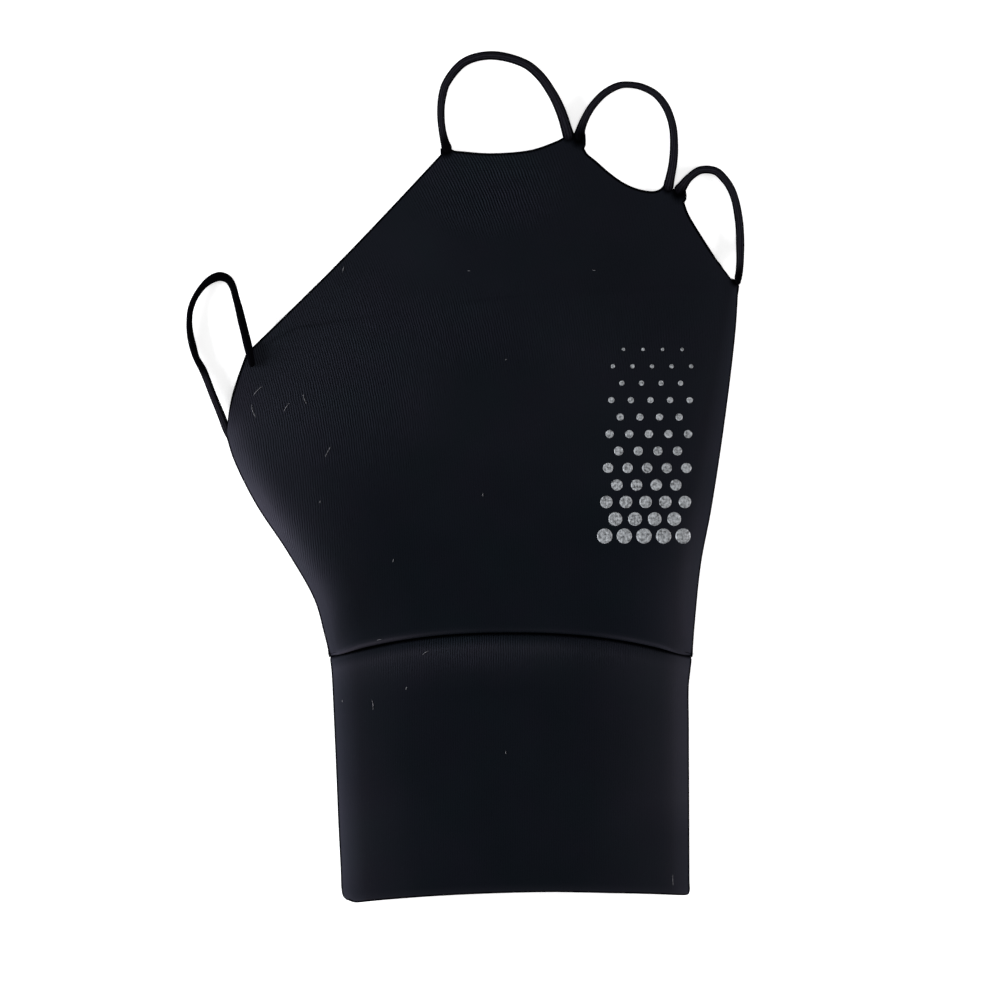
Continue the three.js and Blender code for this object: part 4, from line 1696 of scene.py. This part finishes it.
@dataclass(frozen=True)
class KnitFinish:
    """Near-black stretch knit whose fine ribs show in patches, with painted light along its folds.

    even is the height of the knit at which its tone is level, faintest how strongly its ribs show
    everywhere, and rim_ends how far from an edge its painted shade line starts to fade and has gone.
    painted_light is the colour of the painted light, and edge the black of the seats and of the painted
    shade.
    """

    name: str
    cool: Colour = (0.0047, 0.0066, 0.0087)
    warm: Colour = (0.0056, 0.0062, 0.0093)
    depth: Colour = (0.0022, 0.0028, 0.0040)
    # Colour of the painted light along the folds and the seam.
    painted_light: Colour = (0.050, 0.047, 0.061)
    # Black of the sewn seats, of the painted shade and of the painted shade line.
    edge: Colour = (0.0006, 0.0007, 0.0010)
    pitches: Pair = (0.5, 0.42)
    uneven_scales: Pair = (0.05, 1.6)
    tint_scales: Pair = (0.08, 0.5)
    even: float = 0.62
    faintest: float = 0.12
    patchy: tuple[float, ...] = (0.5, 1.3, 0.2, 0.8)
    uneven: float = 0.10
    worn: float = 0.03
    darkest: float = 0.05
    rib_light_range: Pair = (0.7, 1.15)
    seats_and_shade_ends: Pair = (0.1, 0.9)
    rim_ends: Pair = (0.26, 0.46)
    roughness: float = 0.82
    relief: float = 0.00009

    def build(self, groups: ShaderGroups) -> Material:
        """Makes the material.

        Args:
            groups: The shared shader groups.

        Returns:
            The material.
        """
        material, graph, shader = new_material(self.name)
        lay = graph.attribute("knit", "Vector")
        knit = groups.ribs(graph, lay, self.pitches)
        mottle = groups.spots(graph, lay, self.uneven_scales)
        tint = groups.spots(graph, lay, self.tint_scales)
        plain = graph.math("MULTIPLY", graph.attribute("ribs"), graph.ramp(tint["Fine"], *self.patchy))
        patch = graph.math("ADD", plain, self.faintest)
        ribs = graph.math("MULTIPLY", graph.math("SUBTRACT", knit["Height"], self.even), patch)
        uneven = graph.ramp(mottle["Broad"], -self.uneven, self.uneven)
        worn = graph.math("MULTIPLY", graph.ramp(mottle["Fine"], -self.worn, self.worn), patch)
        level = graph.math("ADD", self.even, graph.math("ADD", uneven, worn))
        lit = graph.math("MAXIMUM", graph.math("ADD", ribs, level), self.darkest)
        yarn = graph.mix(tint["Broad"], self.cool, self.warm)
        colour = graph.mix(lit, self.depth, yarn, held=False)
        # Painted light along the folds and the seam, stronger on the raised ribs.
        rib_painted_light = graph.math("MULTIPLY", graph.attribute("painted_light"), graph.ramp(lit, *self.rib_light_range))
        pale = graph.mix(rib_painted_light, colour, self.painted_light)
        # Black where the loops are sewn on, and painted shade where the cloth turns under at the seam and
        # beside the palm hem.
        seats_and_shade = graph.ramp(graph.split(lay)[2], 0.0, 1.0, *self.seats_and_shade_ends)
        # A thin line of painted shade along the edges and folds.
        line = graph.ramp(graph.attribute("rim"), 1.0, 0.0, *self.rim_ends)
        graph.feed(
            shader,
            Base_Color=graph.mix(graph.math("MAXIMUM", seats_and_shade, line), pale, self.edge),
            Roughness=graph.ramp(knit["Groove"], self.roughness, 1.0),
            Normal=graph.bump(ribs, self.relief),
            Specular_IOR_Level=0.0,
        )
        return material


@dataclass(frozen=True)
class ElasticFinish:
    """Black covered elastic: fine plaited threads with a low gloss, darker where it is sewn down.

    turns is how many plaits go round the cord, and painted_top_light the two heights between which
    painted shade on its sides gives way to a painted highlight on its upper side. thread is the colour
    of the raised threads under the painted highlight, depth the colour of the grooves, of the black
    thread and of the painted shade.
    """

    thread: Colour = (0.0125, 0.0120, 0.0160)
    depth: Colour = (0.0010, 0.0010, 0.0014)
    turns: float = 5.0
    pitches: Pair = (0.5, 0.6)
    scales: Pair = (0.2, 2.0)
    uneven: float = 0.2
    painted_top_light: Pair = (0.72, 0.88)
    roughness: Pair = (0.7, 0.95)
    relief: float = 0.00006

    def build(self, groups: ShaderGroups) -> Material:
        """Makes the material.

        Args:
            groups: The shared shader groups.

        Returns:
            The material.
        """
        material, graph, shader = new_material("covered_elastic")
        around, along, solid = graph.split(graph.attribute("knit", "Vector"))
        turned = graph.math("MULTIPLY", around, self.turns)
        laid = graph.feed(graph.node("ShaderNodeCombineXYZ"), X=turned, Y=along).outputs[0]
        plait = groups.ribs(graph, laid, self.pitches)
        mottle = groups.spots(graph, laid, self.scales)
        # Painted highlight on the upper side of the cord, painted shade on its sides.
        high = graph.math("SINE", graph.math("MULTIPLY", around, math.tau))
        lit = graph.math("ADD", plait["Height"], graph.ramp(mottle["Fine"], -self.uneven, self.uneven))
        loose = graph.math("MULTIPLY", lit, graph.ramp(solid, 1.0, 0.0))
        shade = graph.math("MULTIPLY", loose, graph.ramp(high, 0.0, 1.0, *self.painted_top_light))
        graph.feed(
            shader,
            Base_Color=graph.mix(shade, self.depth, self.thread),
            Roughness=graph.ramp(solid, *self.roughness),
            Normal=graph.bump(plait["Height"], self.relief),
            Specular_IOR_Level=0.0,
        )
        return material


@dataclass(frozen=True)
class PrintFinish:
    """Silver-grey print film, worn a little in a fine mottle, with the ribs of the knit pressed through."""

    bright: Colour = (0.36, 0.38, 0.395)
    worn: Colour = (0.005, 0.006, 0.007)
    pitches: Pair = (0.5, 0.42)
    scales: Pair = (0.35, 1.8)
    fine_share: float = 0.9
    broad_share: float = 0.15
    roughness: float = 0.6
    specular: float = 0.3
    relief: float = 0.00004

    def build(self, groups: ShaderGroups) -> Material:
        """Makes the material.

        Args:
            groups: The shared shader groups.

        Returns:
            The material.
        """
        material, graph, shader = new_material("silver_print")
        lay = graph.attribute("knit", "Vector")
        mottle = groups.spots(graph, lay, self.scales)
        fine = graph.math("MULTIPLY", mottle["Fine"], self.fine_share)
        cover = graph.math("ADD", fine, graph.math("MULTIPLY", mottle["Broad"], self.broad_share))
        graph.feed(
            shader,
            Base_Color=graph.mix(cover, self.worn, self.bright),
            Roughness=self.roughness,
            Normal=graph.bump(groups.ribs(graph, lay, self.pitches)["Height"], self.relief),
            Specular_IOR_Level=self.specular,
        )
        return material


@dataclass(frozen=True)
class LintFinish:
    """Pale grey fibre."""

    colour: Colour = (0.14, 0.14, 0.15)
    roughness: float = 0.9

    def build(self) -> Material:
        """Makes the material.

        Returns:
            The material.
        """
        material, graph, shader = new_material("grey_fibre")
        graph.feed(shader, Base_Color=self.colour, Roughness=self.roughness)
        return material


@dataclass(frozen=True)
class FloorFinish:
    """A matt near-white light table with a barely visible unevenness."""

    light: Colour = (0.93, 0.93, 0.93)
    shade: Colour = (0.915, 0.915, 0.915)
    scales: Pair = (3.0, 60.0)
    roughness: float = 0.95
    specular: float = 0.1
    glow: float = 0.5

    def build(self, groups: ShaderGroups) -> Material:
        """Makes the material.

        Args:
            groups: The shared shader groups.

        Returns:
            The material.
        """
        material, graph, shader = new_material("pale_table")
        place = graph.node("ShaderNodeTexCoord").outputs["Object"]
        mottle = groups.spots(graph, place, self.scales)
        graph.feed(
            shader,
            Base_Color=graph.mix(mottle["Broad"], self.shade, self.light),
            Roughness=self.roughness,
            Specular_IOR_Level=self.specular,
            Emission_Color=WHITE,
            Emission_Strength=self.glow,
        )
        return material


@dataclass(frozen=True)
class Softbox:
    """A rectangular area light that the camera doesn't see."""

    name: str
    place: Place
    size: Pair
    power: float
    colour: Colour

    def build(self) -> None:
        """Adds the light, turned towards the glove."""
        light = bpy.data.lights.new(self.name, "AREA")
        light.shape = "RECTANGLE"
        light.size, light.size_y = self.size
        light.energy = self.power
        light.color = self.colour
        made = bpy.data.objects.new(self.name, light)
        made.location = self.place
        made.rotation_euler = (-Vector(self.place)).to_track_quat("-Z", "Y").to_euler()
        made.visible_camera = False
        bpy.context.scene.collection.objects.link(made)


@dataclass
class Studio:
    """The table, the soft light and the camera straight above."""

    aim: Place = (0.00733, -0.00502, 0.003)
    frame_width: float = 0.2102
    lens: float = 200.0
    sensor: float = 36.0
    farthest: float = 100.0
    floor_size: float = 60.0
    world: float = 0.25
    lights: tuple[Softbox, ...] = (
        Softbox("left_softbox", (-0.55, -0.04, 0.12), (0.40, 0.14), 9.0, (0.95, 0.96, 1.0)),
        Softbox("right_softbox", (0.55, -0.04, 0.13), (0.40, 0.14), 4.0, (1.0, 0.96, 0.98)),
        Softbox("overhead", (0.1, 0.1, 1.6), (1.4, 1.4), 8.0, WHITE),
    )

    def build(self, table: Material) -> None:
        """Sets up the table, the world, the lights and the camera.

        Args:
            table: The finish of the table.
        """
        bpy.ops.mesh.primitive_plane_add(size=self.floor_size)
        floor = bpy.context.object
        floor.name = "table"
        floor.data.materials.append(table)
        world = bpy.data.worlds.new("studio")
        world.use_nodes = True
        background = world.node_tree.nodes["Background"]
        Graph(world.node_tree).feed(background, Color=WHITE, Strength=self.world)
        scene = bpy.context.scene
        scene.world = world
        for light in self.lights:
            light.build()
        lens = bpy.data.cameras.new("camera")
        lens.lens = self.lens
        lens.sensor_width = self.sensor
        lens.clip_end = self.farthest
        camera = bpy.data.objects.new("camera", lens)
        x, y, z = self.aim
        camera.location = (x, y, z + self.frame_width * self.lens / self.sensor)
        scene.collection.objects.link(camera)
        scene.camera = camera
        scene.view_settings.view_transform = "Standard"
        scene.view_settings.look = "None"


def report(made: Object) -> Object:
    """Logs a finished piece and returns it."""
    LOG.info("%s: %d faces", made.name, len(made.data.polygons))
    return made


def main() -> None:
    """Builds the glove piece by piece, then its table, light and camera."""
    logging.basicConfig(level=logging.INFO, format="%(name)s: %(message)s")
    groups = ShaderGroups.make()
    hand = report(Hand().build(KnitFinish("shell_knit").build(groups)))
    cuff = report(Cuff().build(KnitFinish("cuff_knit").build(groups)))
    elastic = ElasticFinish().build(groups)
    for loop in LOOPS:
        report(loop.build(elastic))
    on_hand, on_cuff = Surface(hand), Surface(cuff)
    report(DotPrint().build(on_hand, PrintFinish().build(groups)))
    report(Lint().build((on_hand, on_cuff), LintFinish().build()))
    Studio().build(FloorFinish().build(groups))


if __name__ == "__main__":
    main()
